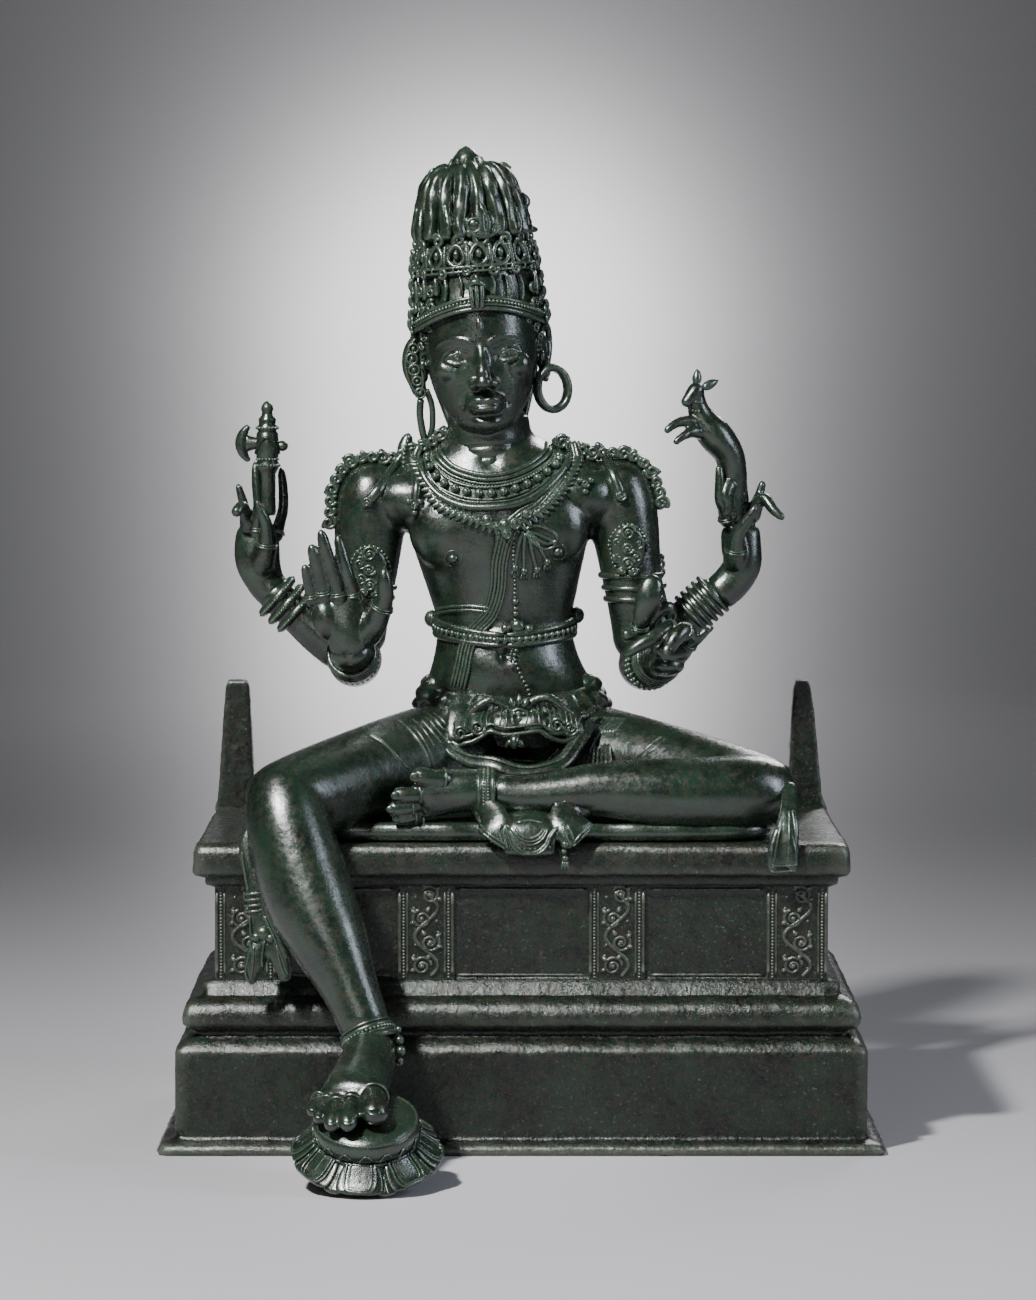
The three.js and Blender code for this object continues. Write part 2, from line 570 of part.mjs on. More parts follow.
function jewellery() {
  const thread = cord([
    [50, 16, 606], onChest(44, 586, 5), onChest(26, 560, 6), onChest(0, 534, 6), onChest(-16, 500, 5),
    onChest(-28, 462, 5), onChest(-48, 430, 5), onChest(-58, 400, 5),
  ], 6, { sides: 4, rings: 11 });
  const knot = blob(onChest(2, 536, 2), [12, 8, 8], { turn: [0, -35, 0], sides: 6, rings: 4 });
  const tassels = cord([onChest(4, 534, 3), onChest(14, 510, 3)], 6, { sides: 4, rings: 3 });
  const navelCord = cord([onChest(0, 440, 1), onChest(-4, 415, 2), onChest(4, 384, 6)], 4, {
    sides: 4, rings: 4,
  });
  const collars = [collar(42, 18, 5), collar(58, 50, 8)];
  return [...collars, thread, knot, tassels, navelCord, torsoBelt(456, 0, 7, 2)];
}

function seatPlate() {
  const bevel = 5;
  const [left, right, front, back, corner] = [-140, 220, -152, 100, 34];
  const outline = new THREE.Shape();
  outline.moveTo(left + corner, front);
  outline.lineTo(right - corner, front);
  outline.quadraticCurveTo(right, front, right, front + corner);
  outline.lineTo(right, back - corner);
  outline.quadraticCurveTo(right, back, right - corner, back);
  outline.lineTo(left + corner, back);
  outline.quadraticCurveTo(left, back, left, back - corner);
  outline.lineTo(left, front + corner);
  outline.quadraticCurveTo(left, front, left + corner, front);
  const plate = new THREE.ExtrudeGeometry(outline, {
    depth: SEAT_THICK - 2 * bevel,
    bevelThickness: bevel,
    bevelSize: bevel,
    bevelSegments: 1,
    curveSegments: 2,
  });
  return [solid(plate, frameAt([0, 0, SLAB_TOP + SEAT_GAP + bevel]))];
}

// Plinth courses from the floor up, each [half width, height]
const COURSES = [
  [310, 0], [312, 4], [308, 9], [BLOCK_HALF_WIDTH, 12], [BLOCK_HALF_WIDTH, 89], [288, 97],
  [281, 99], [281, 103], [288, 107], [291, 115], [289, 125], [282, 131], [274, 134], [274, 144],
  [264, 147], [264, 226], [272, 229], [272, 235], [SLAB_HALF_WIDTH, 238],
  [SLAB_HALF_WIDTH - 1, 258], [SLAB_HALF_WIDTH - 6, SLAB_TOP],
];
const DADO = { front: -(264 - DEPTH_LESS), bottom: 145, top: 228 };
const PILASTERS = [-237, -82, 82, 237];

// A square bar with one ring of corners for each course, grown all over by a clearance
function courses(clearance = 0) {
  const steps = COURSES.length - 1;
  const bar = new THREE.BoxGeometry(2, 2, steps, 1, 1, steps);
  const position = bar.attributes.position;
  for (let i = 0; i < position.count; i += 1) {
    const [halfWidth, height] = COURSES[Math.round(position.getZ(i) + steps / 2)];
    const reach = halfWidth + clearance;
    const [x, y] = [position.getX(i) * reach, position.getY(i) * (reach - DEPTH_LESS)];
    position.setXYZ(i, x, y, height + clearance);
  }
  return solid(bar);
}

function box(low, high) {
  const [width, depth, height] = high.map((value, i) => value - low[i]);
  const middle = low.map((value, i) => (value + high[i]) / 2);
  return solid(new THREE.BoxGeometry(width, depth, height), frameAt(middle));
}

// A pilaster with a raised edge on each side; those at the front carry a scrolling vine
function pilaster(x, carved) {
  const stand = 3;
  const halfWidth = Math.abs(x) > 200 ? 27 : 25;
  const front = DADO.front - stand;
  const panel = box([x - halfWidth, front, DADO.bottom], [x + halfWidth, front + 3 * stand, DADO.top]);
  if (!carved) return panel;
  const edges = SIDES.map((side) => box(
    [x + side * (halfWidth - 3) - 2.5, front - 2, DADO.bottom],
    [x + side * (halfWidth - 3) + 2.5, front + stand, DADO.top],
  ));
  const height = DADO.top - DADO.bottom;
  const vine = cord(count(7).map((i) => [
    x + 9 * Math.sin((i / 6) * 3 * Math.PI), front, DADO.bottom + 5 + (i / 6) * (height - 10),
  ]), 2.4, { sides: 4, rings: 10 });
  const curls = count(3).map((i) => solid(
    new THREE.TorusGeometry(5.5, 2, 4, 7),
    frameAt([x + 8 * (i % 2 ? 1 : -1), front, DADO.bottom + height * (i + 0.5) / 3], [90, 0, 0]),
  ));
  return join([panel, ...edges, vine, ...curls]);
}

// The posts at the back corners of the seat slab taper upwards from a flared foot
function post(side) {
  const [inner, outer, depth] = [247, 280, 22];
  const outline = new THREE.Shape([
    [inner - 4, 0], [outer, 0], [outer - 4, 12], [outer - 13, POST_HEIGHT - 4], [outer - 16, POST_HEIGHT],
    [inner + 5, POST_HEIGHT], [inner + 2, POST_HEIGHT - 4], [inner - 2, 12],
  ].map(([x, z]) => new THREE.Vector2(x, z)));
  const plate = new THREE.ExtrudeGeometry(outline, { depth, bevelEnabled: false });
  const back = SLAB_HALF_WIDTH - DEPTH_LESS - 8;
  const right = solid(plate, frameAt([0, back, SLAB_TOP - 2], [90, 0, 0]));
  return side > 0 ? right : right.mirror([1, 0, 0]);
}

function plinth() {
  const carved = PILASTERS.map((x) => pilaster(x, true));
  const plain = PILASTERS.map((x) => pilaster(x, false).rotate([0, 0, 180]));
  return join([courses(), post(-1), post(1), ...carved, ...plain]);
}

// Joining leaves many slivers along the seams. Here a short edge is drawn together wherever the
// faces round it move by less than the tolerance, none turns over, and the surface stays closed.
function withoutSlivers(joined, tolerance = JOIN_TOLERANCE, longest = LONGEST_SLIVER) {
  const { vertProperties, triVerts } = joined.getMesh();
  const triple = (list, i) => [...list.subarray(i * 3, i * 3 + 3)];
  const points = count(vertProperties.length / 3).map((i) => vec(...triple(vertProperties, i)));
  const faces = count(triVerts.length / 3).map((i) => triple(triVerts, i));
  const around = points.map(() => new Set());
  faces.forEach((face, i) => face.forEach((corner) => around[corner].add(i)));
  const normalOf = (face) => {
    const [a, b, c] = face.map((corner) => points[corner]);
    return b.clone().sub(a).cross(c.clone().sub(a));
  };
  const neighbours = (corner) => {
    const touching = [...around[corner]].flatMap((i) => faces[i]);
    return new Set(touching.filter((other) => other !== corner));
  };

  // how far the faces round an edge move when both its ends go to one place
  function shiftAt(keep, drop, place) {
    let furthest = 0;
    for (const i of new Set([...around[keep], ...around[drop]])) {
      const face = faces[i];
      const before = normalOf(face);
      const area = before.length();
      const fromFace = place.clone().sub(points[face[0]]).dot(before);
      if (area > 1e-6) furthest = Math.max(furthest, Math.abs(fromFace / area));
      if (face.includes(keep) && face.includes(drop)) continue;
      const [a, b, c] = face.map((corner) => (corner === keep || corner === drop ? place : points[corner]));
      const after = b.clone().sub(a).cross(c.clone().sub(a));
      const turnedOver = area > 1e-3 && after.dot(before) < 0.3 * after.length() * area;
      if (after.length() < 0.02 || turnedOver) return Infinity;
    }
    return furthest;
  }

  function drawTogether(keep, drop) {
    const shared = [...around[keep]].filter((i) => around[drop].has(i));
    const otherNeighbours = neighbours(drop);
    const common = [...neighbours(keep)].filter((corner) => otherNeighbours.has(corner));
    if (shared.length !== 2 || common.length !== 2) return false;
    const middle = points[keep].clone().lerp(points[drop], 0.5);
    const best = [points[keep], points[drop], middle]
      .map((place) => ({ place: place.clone(), shift: shiftAt(keep, drop, place) }))
      .reduce((least, next) => (next.shift < least.shift ? next : least));
    if (best.shift > tolerance) return false;
    points[keep] = best.place;
    shared.forEach((i) => faces[i].forEach((corner) => around[corner].delete(i)));
    shared.forEach((i) => { faces[i] = null; });
    around[drop].forEach((i) => {
      faces[i] = faces[i].map((corner) => (corner === drop ? keep : corner));
      around[keep].add(i);
    });
    around[drop].clear();
    return true;
  }

  for (let limit = longest / 8; limit <= longest; limit *= 2) {
    for (const face of faces) {
      for (const side of face ? [0, 1, 2] : []) {
        const [keep, drop] = [face[side], face[(side + 1) % 3]];
        const stillThere = around[keep].size > 0 && around[drop].size > 0 && keep !== drop;
        const joined = stillThere && neighbours(keep).has(drop);
        if (joined && points[keep].distanceTo(points[drop]) < limit && drawTogether(keep, drop)) break;
      }
    }
  }
  const left = faces.filter((face) => face);
  const used = [...new Set(left.flat())];
  const place = new Map(used.map((corner, i) => [corner, i]));
  return new wasm.Manifold(new wasm.Mesh({
    numProp: 3,
    vertProperties: new Float32Array(used.flatMap((corner) => points[corner].toArray())),
    triVerts: new Uint32Array(left.flat().map((corner) => place.get(corner))),
  }));
}

function toMesh(name, manifold, material) {
  const { vertProperties, triVerts } = manifold.getMesh();
  const geometry = new THREE.BufferGeometry();
  geometry.setAttribute('position', new THREE.BufferAttribute(new Float32Array(vertProperties), 3));
  geometry.setIndex(new THREE.BufferAttribute(new Uint32Array(triVerts), 1));
  geometry.computeVertexNormals();
  const mesh = new THREE.Mesh(geometry, material);
  mesh.name = name;
  return mesh;
}

const figureBronze = new THREE.MeshStandardMaterial({ color: 0x24332b, roughness: 0.36, metalness: 0.8 });
const plinthBronze = new THREE.MeshStandardMaterial({ color: 0x23261f, roughness: 0.55, metalness: 0.7 });

const head = limb(HEAD, { sides: 12, rings: 8, cap: 0.05, level: true, frame: HEAD_FRAME });
const cast = join([
  ...torso(), head, ...face(), ...ears(), ...crown(), ...shoulderLocks(), ...arms(), ...axe(), ...antelope(),
  ...legs(), ...lotus(), ...cloth(), ...tails(), ...jewellery(), ...seatPlate(),
]);
// what hangs over the seat stays just clear of the plinth
const figure = withoutSlivers(cast).subtract(courses(SEAT_GAP));

const shiva = new THREE.Group();
shiva.name = 'seated_shiva';
shiva.add(toMesh('figure', figure, figureBronze));
shiva.add(toMesh('plinth', withoutSlivers(plinth()), plinthBronze));

export default shiva;
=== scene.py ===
# %% [markdown]
# # A seated, four-armed Shiva in cast bronze
#
# A lost-wax bronze is modelled in wax first: the body is built up smooth, and the jewellery, locks and
# cloth are laid on it as threads and pellets of wax. This script works in the same order. Smooth forms are
# stretched balls fused into one skin, and each ornament is its own thread, bead or leaf that rests on it.
#
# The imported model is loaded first. It fixes where everything is, and the looks are built round it.

# %% Load the fixed frame
import json
from math import copysign, cos, hypot, pi, radians, sin, sqrt

import bmesh
import bpy
import numpy as np
from mathutils import Matrix, Vector, noise
from mathutils.bvhtree import BVHTree

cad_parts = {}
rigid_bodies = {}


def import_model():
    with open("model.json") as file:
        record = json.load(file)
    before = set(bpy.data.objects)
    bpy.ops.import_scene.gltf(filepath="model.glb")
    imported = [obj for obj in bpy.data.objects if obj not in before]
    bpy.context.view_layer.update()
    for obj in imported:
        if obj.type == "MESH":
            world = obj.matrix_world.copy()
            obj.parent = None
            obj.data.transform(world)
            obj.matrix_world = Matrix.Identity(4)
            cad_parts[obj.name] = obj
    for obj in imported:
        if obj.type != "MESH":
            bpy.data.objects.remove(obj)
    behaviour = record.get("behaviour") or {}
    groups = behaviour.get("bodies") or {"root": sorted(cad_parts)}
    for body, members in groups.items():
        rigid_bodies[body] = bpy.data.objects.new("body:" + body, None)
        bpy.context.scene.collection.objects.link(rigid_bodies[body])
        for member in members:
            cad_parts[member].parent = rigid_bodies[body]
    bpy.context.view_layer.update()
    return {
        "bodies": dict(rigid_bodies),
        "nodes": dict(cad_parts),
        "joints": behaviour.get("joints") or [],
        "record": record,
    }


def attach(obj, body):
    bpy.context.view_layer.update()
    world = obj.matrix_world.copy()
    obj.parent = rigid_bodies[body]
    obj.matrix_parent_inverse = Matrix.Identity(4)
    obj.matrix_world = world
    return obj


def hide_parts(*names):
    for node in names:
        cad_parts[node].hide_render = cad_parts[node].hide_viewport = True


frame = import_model()

# %% [markdown]
# ## Smooth paths
#
# Every limb, lock and cord follows a smooth path through a few stations. A Catmull-Rom spline passes through
# its own points, so each station can be read off the object, which a Bezier's handles would not allow. All
# sizes are in millimetres, and each finished mesh is scaled to metres once, at the end.

# %% Smooth paths and frames
MM = 0.001
FRONT = Vector((0, -1, 0))
UP = Vector((0, 0, 1))


def spline(points, shares, closed=False):
    """Points of the smooth path at these shares of its length, 0 to 1."""
    p = np.asarray(points, float)
    last = len(p) if closed else len(p) - 1
    place = np.clip(np.asarray(shares, float), 0, 1) * last
    step = np.minimum(place.astype(int), last - 1)
    w = (place - step)[:, None]
    if closed:
        padded = np.vstack([p[-1], p, p[0], p[1]])
    else:
        padded = np.vstack([2 * p[0] - p[1], p, 2 * p[-1] - p[-2]])
    a, b, c, d = (padded[step + k] for k in range(4))
    out, back = (c - a) / 2, (d - b) / 2
    return b + out * w + (3 * c - 3 * b - 2 * out - back) * w**2 + (2 * b - 2 * c + out + back) * w**3


def even(points, spacing, closed=False):
    """Points along the smooth path, one every spacing, with the last one at its end."""
    fine = spline(points, np.linspace(0, 1, 24 * len(points) + 1), closed)
    walked = np.concatenate([[0], np.cumsum(np.linalg.norm(np.diff(fine, axis=0), axis=1))])
    total = max(2, round(walked[-1] / spacing))
    marks = np.linspace(0, walked[-1], total + 1)
    if closed:
        marks = marks[:-1]
    return np.column_stack([np.interp(marks, walked, fine[:, k]) for k in range(fine.shape[1])])


def unit(rows):
    """Each row as a direction of length one."""
    return rows / np.maximum(np.linalg.norm(rows, axis=1, keepdims=True), 1e-9)


def direction_at(turn, rise=0.0):
    """The direction away from the middle at a turn in degrees: 0 is the front and 90 the figure's left."""
    return sin(radians(turn)), -cos(radians(turn)), rise


def moved_by(matrix, places):
    """Places turned, scaled and moved by a matrix."""
    turned = np.array(matrix)
    return places @ turned[:3, :3].T + turned[:3, 3]


def frame_at(position, turn=(0, 0, 0), size=(1, 1, 1)):
    """A frame at a position, turned about its own X, then Y, then Z, and scaled."""
    turned = Matrix.Identity(4)
    for degrees, axis in zip(turn, "XYZ"):
        turned = turned @ Matrix.Rotation(radians(degrees), 4, axis)
    return Matrix.Translation(position) @ turned @ Matrix.Diagonal((*size, 1))


def frame_along(position, along, facing):
    """A frame whose +Z runs along one direction and whose -Y faces another."""
    z = Vector(along).normalized()
    y = -Vector(facing)
    y = (y - z * y.dot(z)).normalized()
    made = Matrix((y.cross(z), y, z)).transposed().to_4x4()
    made.translation = Vector(position)
    return made


print("spline check", spline([[0, 0, 0], [10, 0, 0], [20, 5, 0]], [0, 0.5, 1]).round(2).tolist())

# %% [markdown]
# ## Wax to build with
#
# The figure takes some two thousand small shapes, and a bmesh operator slows down as its bmesh grows. So each
# basic shape, a ball, a bead or a closed sleeve, is made once by its operator as a stamp. Copies of a
# stamp are bent with array arithmetic and collected in a `Wax`, which becomes one mesh at the end.

# %% Stamps and wax
SLEEVE = 2  # the radius of the closed sleeve, whose tube has a radius of 1
stamps = {}


def mesh_arrays(mesh):
    """Places, corner indices and face sizes of a mesh."""
    places = np.zeros(len(mesh.vertices) * 3)
    mesh.vertices.foreach_get("co", places)
    corners = np.zeros(len(mesh.loops), int)
    mesh.loops.foreach_get("vertex_index", corners)
    sizes = np.zeros(len(mesh.polygons), int)
    mesh.polygons.foreach_get("loop_total", sizes)
    return places.reshape(-1, 3), corners, sizes


def bmesh_arrays(small):
    """The same arrays of a bmesh, which is freed."""
    mesh = bpy.data.meshes.new("small")
    small.to_mesh(mesh)
    small.free()
    arrays = mesh_arrays(mesh)
    bpy.data.meshes.remove(mesh)
    return arrays


def full_spin(small, geometry, steps, apart):
    """Turns geometry once about Z, and joins what ends up less than this far apart."""
    whole = {"cent": (0, 0, 0), "axis": (0, 0, 1), "angle": 2 * pi, "use_merge": True}
    bmesh.ops.spin(small, geom=geometry, steps=steps, **whole)
    bmesh.ops.remove_doubles(small, verts=small.verts, dist=apart)


def stamp(kind, first, second=0):
    """A ball, bead or sleeve made by its bmesh operator, kept as arrays."""
    key = (kind, first, second)
    if key not in stamps:
        small = bmesh.new()
        if kind == "ball":
            bmesh.ops.create_uvsphere(small, u_segments=first, v_segments=second, radius=1)
        elif kind == "bead":
            bmesh.ops.create_icosphere(small, subdivisions=first, radius=1)
        else:
            upright = Matrix.Translation((SLEEVE, 0, 0)) @ Matrix.Rotation(pi / 2, 4, "X")
            circle = bmesh.ops.create_circle(small, segments=second, radius=1, matrix=upright)["verts"]
            geometry = circle + list({e for v in circle for e in v.link_edges})
            full_spin(small, geometry, first, 1e-4)
        stamps[key] = bmesh_arrays(small)
    return stamps[key]


class Wax:
    """Shapes collected in millimetres, before they become one mesh."""

    def __init__(self):
        self.places, self.corners, self.sizes, self.count = [], [], [], 0

    def add(self, places, corners, sizes):
        self.places.append(np.asarray(places, float))
        self.corners.append(corners + self.count)
        self.sizes.append(sizes)
        self.count += len(places)

    def move(self, matrix):
        self.places = [moved_by(matrix, p) for p in self.places]

    def mesh(self, name):
        """One mesh with its faces pointing outwards."""
        places, corners, sizes = (np.concatenate(rows) for rows in (self.places, self.corners, self.sizes))
        made = bpy.data.meshes.new(name)
        made.vertices.add(len(places))
        made.vertices.foreach_set("co", places.astype(np.float32).ravel())
        made.loops.add(len(corners))
        made.loops.foreach_set("vertex_index", corners.astype(np.int32))
        made.polygons.add(len(sizes))
        made.polygons.foreach_set("loop_start", (np.cumsum(sizes) - sizes).astype(np.int32))
        made.update(calc_edges=True)
        whole = bmesh.new()
        whole.from_mesh(made)
        bmesh.ops.recalc_face_normals(whole, faces=whole.faces)
        whole.to_mesh(made)
        whole.free()
        return made


# %% [markdown]
# ## Stretched balls, cords and rings
#
# An arm, a finger, a lock of hair and a fold of cloth are all the same thing in wax: a ball rolled out and
# bent. `limb` moves a ball's rings onto a path, with a half width and a half thickness at each station. A
# skin modifier could do this too, but it gives no control of the two thicknesses.

# %% Limbs, balls and cords
def limb(wax, stations, sides=16, rings=30, facing=FRONT, cap=0.12, level=False, shape=None):
    """A ball stretched along stations of x, y, z, half width and half thickness, rounded at both ends."""
    rows = np.array([[*s[:3], s[3], s[4] if len(s) > 4 else s[3]] for s in stations], float)
    ball, corners, sizes = stamp("ball", sides, rings)
    along = np.arccos(np.clip(ball[:, 2], -1, 1)) / np.pi
    turn = np.arctan2(ball[:, 1], ball[:, 0])
    to_end = np.minimum(along, 1 - along)
    round_end = np.sqrt(np.clip(1 - (1 - to_end / cap) ** 2, 0, 1))
    rounding = np.where(to_end < cap, round_end, 1.0)
    inside = np.clip(along, 0.001, 0.999)
    if level:
        tangent = np.tile(np.array(UP), (len(ball), 1))
    else:
        tangent = unit(spline(rows[:, :3], inside + 0.001) - spline(rows[:, :3], inside - 0.001))
    face = np.tile(np.array(facing, float), (len(ball), 1))
    thick = unit(face - tangent * np.sum(face * tangent, axis=1, keepdims=True))
    width = np.cross(thick, tangent)
    size = spline(rows[:, 3:], along) * rounding[:, None]
    if shape is not None:
        size = size * shape(along, turn)[:, None]
    places = spline(rows[:, :3], along)
    places += width * (size[:, 0] * np.cos(turn))[:, None] + thick * (size[:, 1] * np.sin(turn))[:, None]
    wax.add(places, corners, sizes)


def blob(wax, centre, radii, turn=(0, 0, 0), sides=20, rings=8, frame=None):
    """A ball with its own radii."""
    own = frame_at(centre, turn, radii)
    ball, corners, sizes = stamp("ball", sides, rings)
    wax.add(moved_by(frame @ own if frame else own, ball), corners, sizes)


def cord(wax, points, radius, sides=8, spacing=2, flat=1.0, taper=0.0, cap=0.04, **options):
    """An open cord of even thickness, or thinner towards its end."""
    path = even(points, spacing)
    shares = np.linspace(0, 1, len(path))
    stations = [[*p, radius * (1 - taper * s), radius * flat * (1 - taper * s)] for p, s in zip(path, shares)]
    limb(wax, stations, sides=sides, rings=max(6, len(path)), cap=cap, **options)


GROOVE = 0.22  # how deep the strands of a rope are parted, as a share of its radius


def rope(wax, points, radius, strands=2, pitch=9, sides=12, spacing=1.6, **options):
    """A cord twisted from strands, with one full turn in each pitch."""
    length = np.linalg.norm(np.diff(even(points, spacing), axis=0), axis=1).sum()
    twist = 2 * pi * length / pitch

    def strand(along, turn):
        return 1 - GROOVE * (1 - np.abs(np.cos(strands / 2 * (turn + twist * along))))

    cord(wax, points, radius, sides=sides, spacing=spacing, shape=strand, **options)


def ring(wax, points, radius, sides=6, spacing=3, flat=1.0):
    """A closed cord. flat widens it away from its own middle."""
    path = even(points, spacing, closed=True)
    sleeve, corners, sizes = stamp("sleeve", len(path), sides)
    step = np.rint(np.arctan2(sleeve[:, 1], sleeve[:, 0]) / (2 * np.pi) * len(path)).astype(int) % len(path)
    turn = np.arctan2(sleeve[:, 2], np.hypot(sleeve[:, 0], sleeve[:, 1]) - SLEEVE)
    tangent = unit(np.roll(path, -1, axis=0) - np.roll(path, 1, axis=0))
    away = path - path.mean(axis=0)
    away = unit(away - tangent * np.sum(away * tangent, axis=1, keepdims=True))
    across = np.cross(tangent, away)
    places = path[step] + away[step] * (radius * flat * np.cos(turn))[:, None]
    places += across[step] * (radius * np.sin(turn))[:, None]
    wax.add(places, corners, sizes)


def hoop(wax, centre, axis, radius, thickness, sides=8, flat=1.0):
    """A ring round an axis, such as a bangle or a finger ring."""
    turned = frame_along(centre, axis, FRONT if abs(Vector(axis).normalized().y) < 0.9 else UP)
    turns = [2 * pi * k / 24 for k in range(24)]
    points = [turned @ Vector((radius * cos(t), radius * sin(t), 0)) for t in turns]
    ring(wax, points, thickness, sides=sides, spacing=max(1.2, radius * 0.22), flat=flat)


def circle_points(centre, radius, count):
    """Points round a circle that faces the front."""
    turns = [2 * pi * k / count for k in range(count)]
    return [list(Vector(centre) + Vector((radius * sin(t), 0, radius * cos(t)))) for t in turns]


def round_axis(own, radius, last, count):
    """Points round the Z axis of a frame, from angle 0 to the last one."""
    turns = np.linspace(0, last, count)
    return [list(own @ Vector((radius * cos(t), radius * sin(t), 0))) for t in turns]


def beads(wax, points, radius, gap=2.1, closed=False, detail=1):
    """A row of small balls, gap radii apart."""
    ball, corners, sizes = stamp("bead", detail)
    for point in even(points, radius * gap, closed):
        wax.add(ball * radius + point, corners, sizes)


def spun(wax, outline, frame=None, steps=32):
    """A shape turned about Z from an outline of radius and height that starts and ends on the axis."""
    small = bmesh.new()
    verts = [small.verts.new((r, 0, z)) for r, z in outline]
    edges = [small.edges.new(pair) for pair in zip(verts, verts[1:])]
    full_spin(small, verts + edges, steps, 1e-3)
    if frame:
        bmesh.ops.transform(small, matrix=frame, verts=small.verts)
    wax.add(*bmesh_arrays(small))


def stacked(levels, sides, corner):
    """A ball's rows moved to rectangles of x, y, z, half width and half depth; a high corner is sharp."""
    ball, corners, sizes = stamp("ball", sides, len(levels) - 1)
    row = np.rint(np.arccos(np.clip(ball[:, 2], -1, 1)) / np.pi * (len(levels) - 1)).astype(int)
    turn = np.arctan2(ball[:, 1], ball[:, 0])
    squared = (np.abs(np.cos(turn)) ** corner + np.abs(np.sin(turn)) ** corner) ** (-1 / corner)
    x, y, z, wide, deep = np.array(levels[::-1], float)[row].T
    places = np.column_stack([x + np.cos(turn) * squared * wide, y + np.sin(turn) * squared * deep, z])
    return places, corners, sizes


# %% Leaves and curls
def leaf(wax, root, tip, facing, wide, thick=2.0, sides=10):
    """A pointed leaf from its root to its tip."""
    root, tip = Vector(root), Vector(tip)
    outline = ((0, 0.5, 1), (0.35, 1, 1.3), (0.7, 0.75, 1), (1, 0.12, 0.4))
    stations = [[*root.lerp(tip, share), wide * w, thick * t] for share, w, t in outline]
    limb(wax, stations, sides=sides, rings=10, facing=facing, cap=0.1)


def curl(wax, centre, radius, thick, facing=FRONT, turns=1.5, hand=1, start=0.0):
    """A thread wound into a spiral, like the end of a vine or a lock."""
    own = frame_along(centre, UP, facing)
    points = []
    for k in range(int(turns * 10) + 1):
        angle = start + hand * 2 * pi * k / 10
        reach = radius * (1 - 0.85 * k / (turns * 10))
        place = Vector((reach * cos(angle), -0.12 * thick * k / 10, reach * sin(angle)))
        points.append(list(own @ place))
    cord(wax, points, thick, spacing=1.6, taper=0.2)


# %% [markdown]
# ## From wax to a finished piece
#
# Wax parts that flow into each other are fused by a voxel remesh and then smoothed. Booleans would keep
# sharp creases where an arm leaves the shoulder, and they fail on many overlapping balls. Threads and beads
# stay as they are, because a remesh rounds anything thinner than its voxel.

# %% Fusing and finishing
made_pieces = []


def fused(name, wax, voxel, soften):
    """One closed skin round everything in the wax, smoothed soften times, as a new mesh in millimetres."""
    shown = bpy.data.objects.new(name, wax.mesh(name))
    bpy.context.scene.collection.objects.link(shown)
    remesh = shown.modifiers.new("fuse", "REMESH")
    remesh.mode = "VOXEL"
    remesh.voxel_size = voxel
    remesh.adaptivity = 0
    smooth = shown.modifiers.new("soften", "SMOOTH")
    smooth.factor = 0.5
    smooth.iterations = soften
    graph = bpy.context.evaluated_depsgraph_get()
    result = bpy.data.meshes.new_from_object(shown.evaluated_get(graph))
    bpy.data.objects.remove(shown)
    return result


def search_tree(mesh):
    """A tree that finds the skin along a ray."""
    places, corners, sizes = mesh_arrays(mesh)
    starts = np.cumsum(sizes) - sizes
    faces = [corners[a : a + n].tolist() for a, n in zip(starts, sizes)]
    return BVHTree.FromPolygons([tuple(p) for p in places], faces)


def move_points(mesh, change):
    """Moves every vertex by what change says for all places and normals together."""
    count = len(mesh.vertices)
    places = np.zeros(count * 3, np.float32)
    mesh.vertices.foreach_get("co", places)
    normals = np.zeros(count * 3, np.float32)
    mesh.vertex_normals.foreach_get("vector", normals)
    places = places.reshape(-1, 3)
    moved = places + change(places, normals.reshape(-1, 3))
    mesh.vertices.foreach_set("co", moved.astype(np.float32).ravel())
    mesh.update()


def finished(name, shape, material=None, stands_for=None):
    """Makes wax or a mesh in millimetres into a shaded piece that rides on the casting."""
    mesh = shape.mesh(name) if isinstance(shape, Wax) else shape
    mesh.name = name
    mesh.transform(Matrix.Scale(MM, 4))
    mesh.shade_smooth()
    mesh.materials.clear()
    mesh.materials.append(material or figure_bronze)
    piece = bpy.data.objects.new(name, mesh)
    bpy.context.scene.collection.objects.link(piece)
    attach(piece, "root")
    if stands_for:
        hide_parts(stands_for)
    triangles = sum(len(p.vertices) - 2 for p in mesh.polygons)
    made_pieces.append((name, triangles))
    print(f"{name}: {triangles} triangles")


# %% [markdown]
# ## Patinated bronze
#
# Old temple bronze has a thin skin of dark green and brown copper oxides, rubbed with wax and handled for
# centuries. To the eye it is nearly black, with a green cast where the light catches it, browner in rubbed
# places, and soft white highlights from the polish. The skin is a little pitted from the casting and flecked
# with pale dust, and its hollows are darkened in the colour as painted shade. An image could hold all this,
# but noise at the real grain sizes has no seams.

# %% The bronze finishes
def colour(text):
    """An sRGB hex value as the linear colour that a shader needs."""
    parts = [int(text[k : k + 2], 16) / 255 for k in (1, 3, 5)]
    return (*[c / 12.92 if c <= 0.04045 else ((c + 0.055) / 1.055) ** 2.4 for c in parts], 1.0)


def node(tree, kind, links=None, **settings):
    """Adds a node, sets its properties and sockets, and links what links names to its inputs."""
    added = tree.nodes.new(kind)
    for key, value in settings.items():
        if key.startswith("in_"):
            added.inputs[int(key[3:])].default_value = value
        else:
            setattr(added, key, value)
    for socket, source in (links or {}).items():
        tree.links.new(source, added.inputs[socket])
    return added


def grain(tree, place, size, detail, roughness):
    """A noise whose features are this many millimetres across."""
    settings = {"in_2": 1 / (size * MM), "in_3": detail, "in_4": roughness}
    return node(tree, "ShaderNodeTexNoise", {0: place}, **settings).outputs[0]


def remapped(tree, source, none, full, least=0.0, most=1.0, **settings):
    """A number that runs from least to most while its source goes from none to full."""
    limits = {"in_1": none, "in_2": full, "in_3": least, "in_4": most}
    return node(tree, "ShaderNodeMapRange", {0: source}, **limits, **settings).outputs[0]


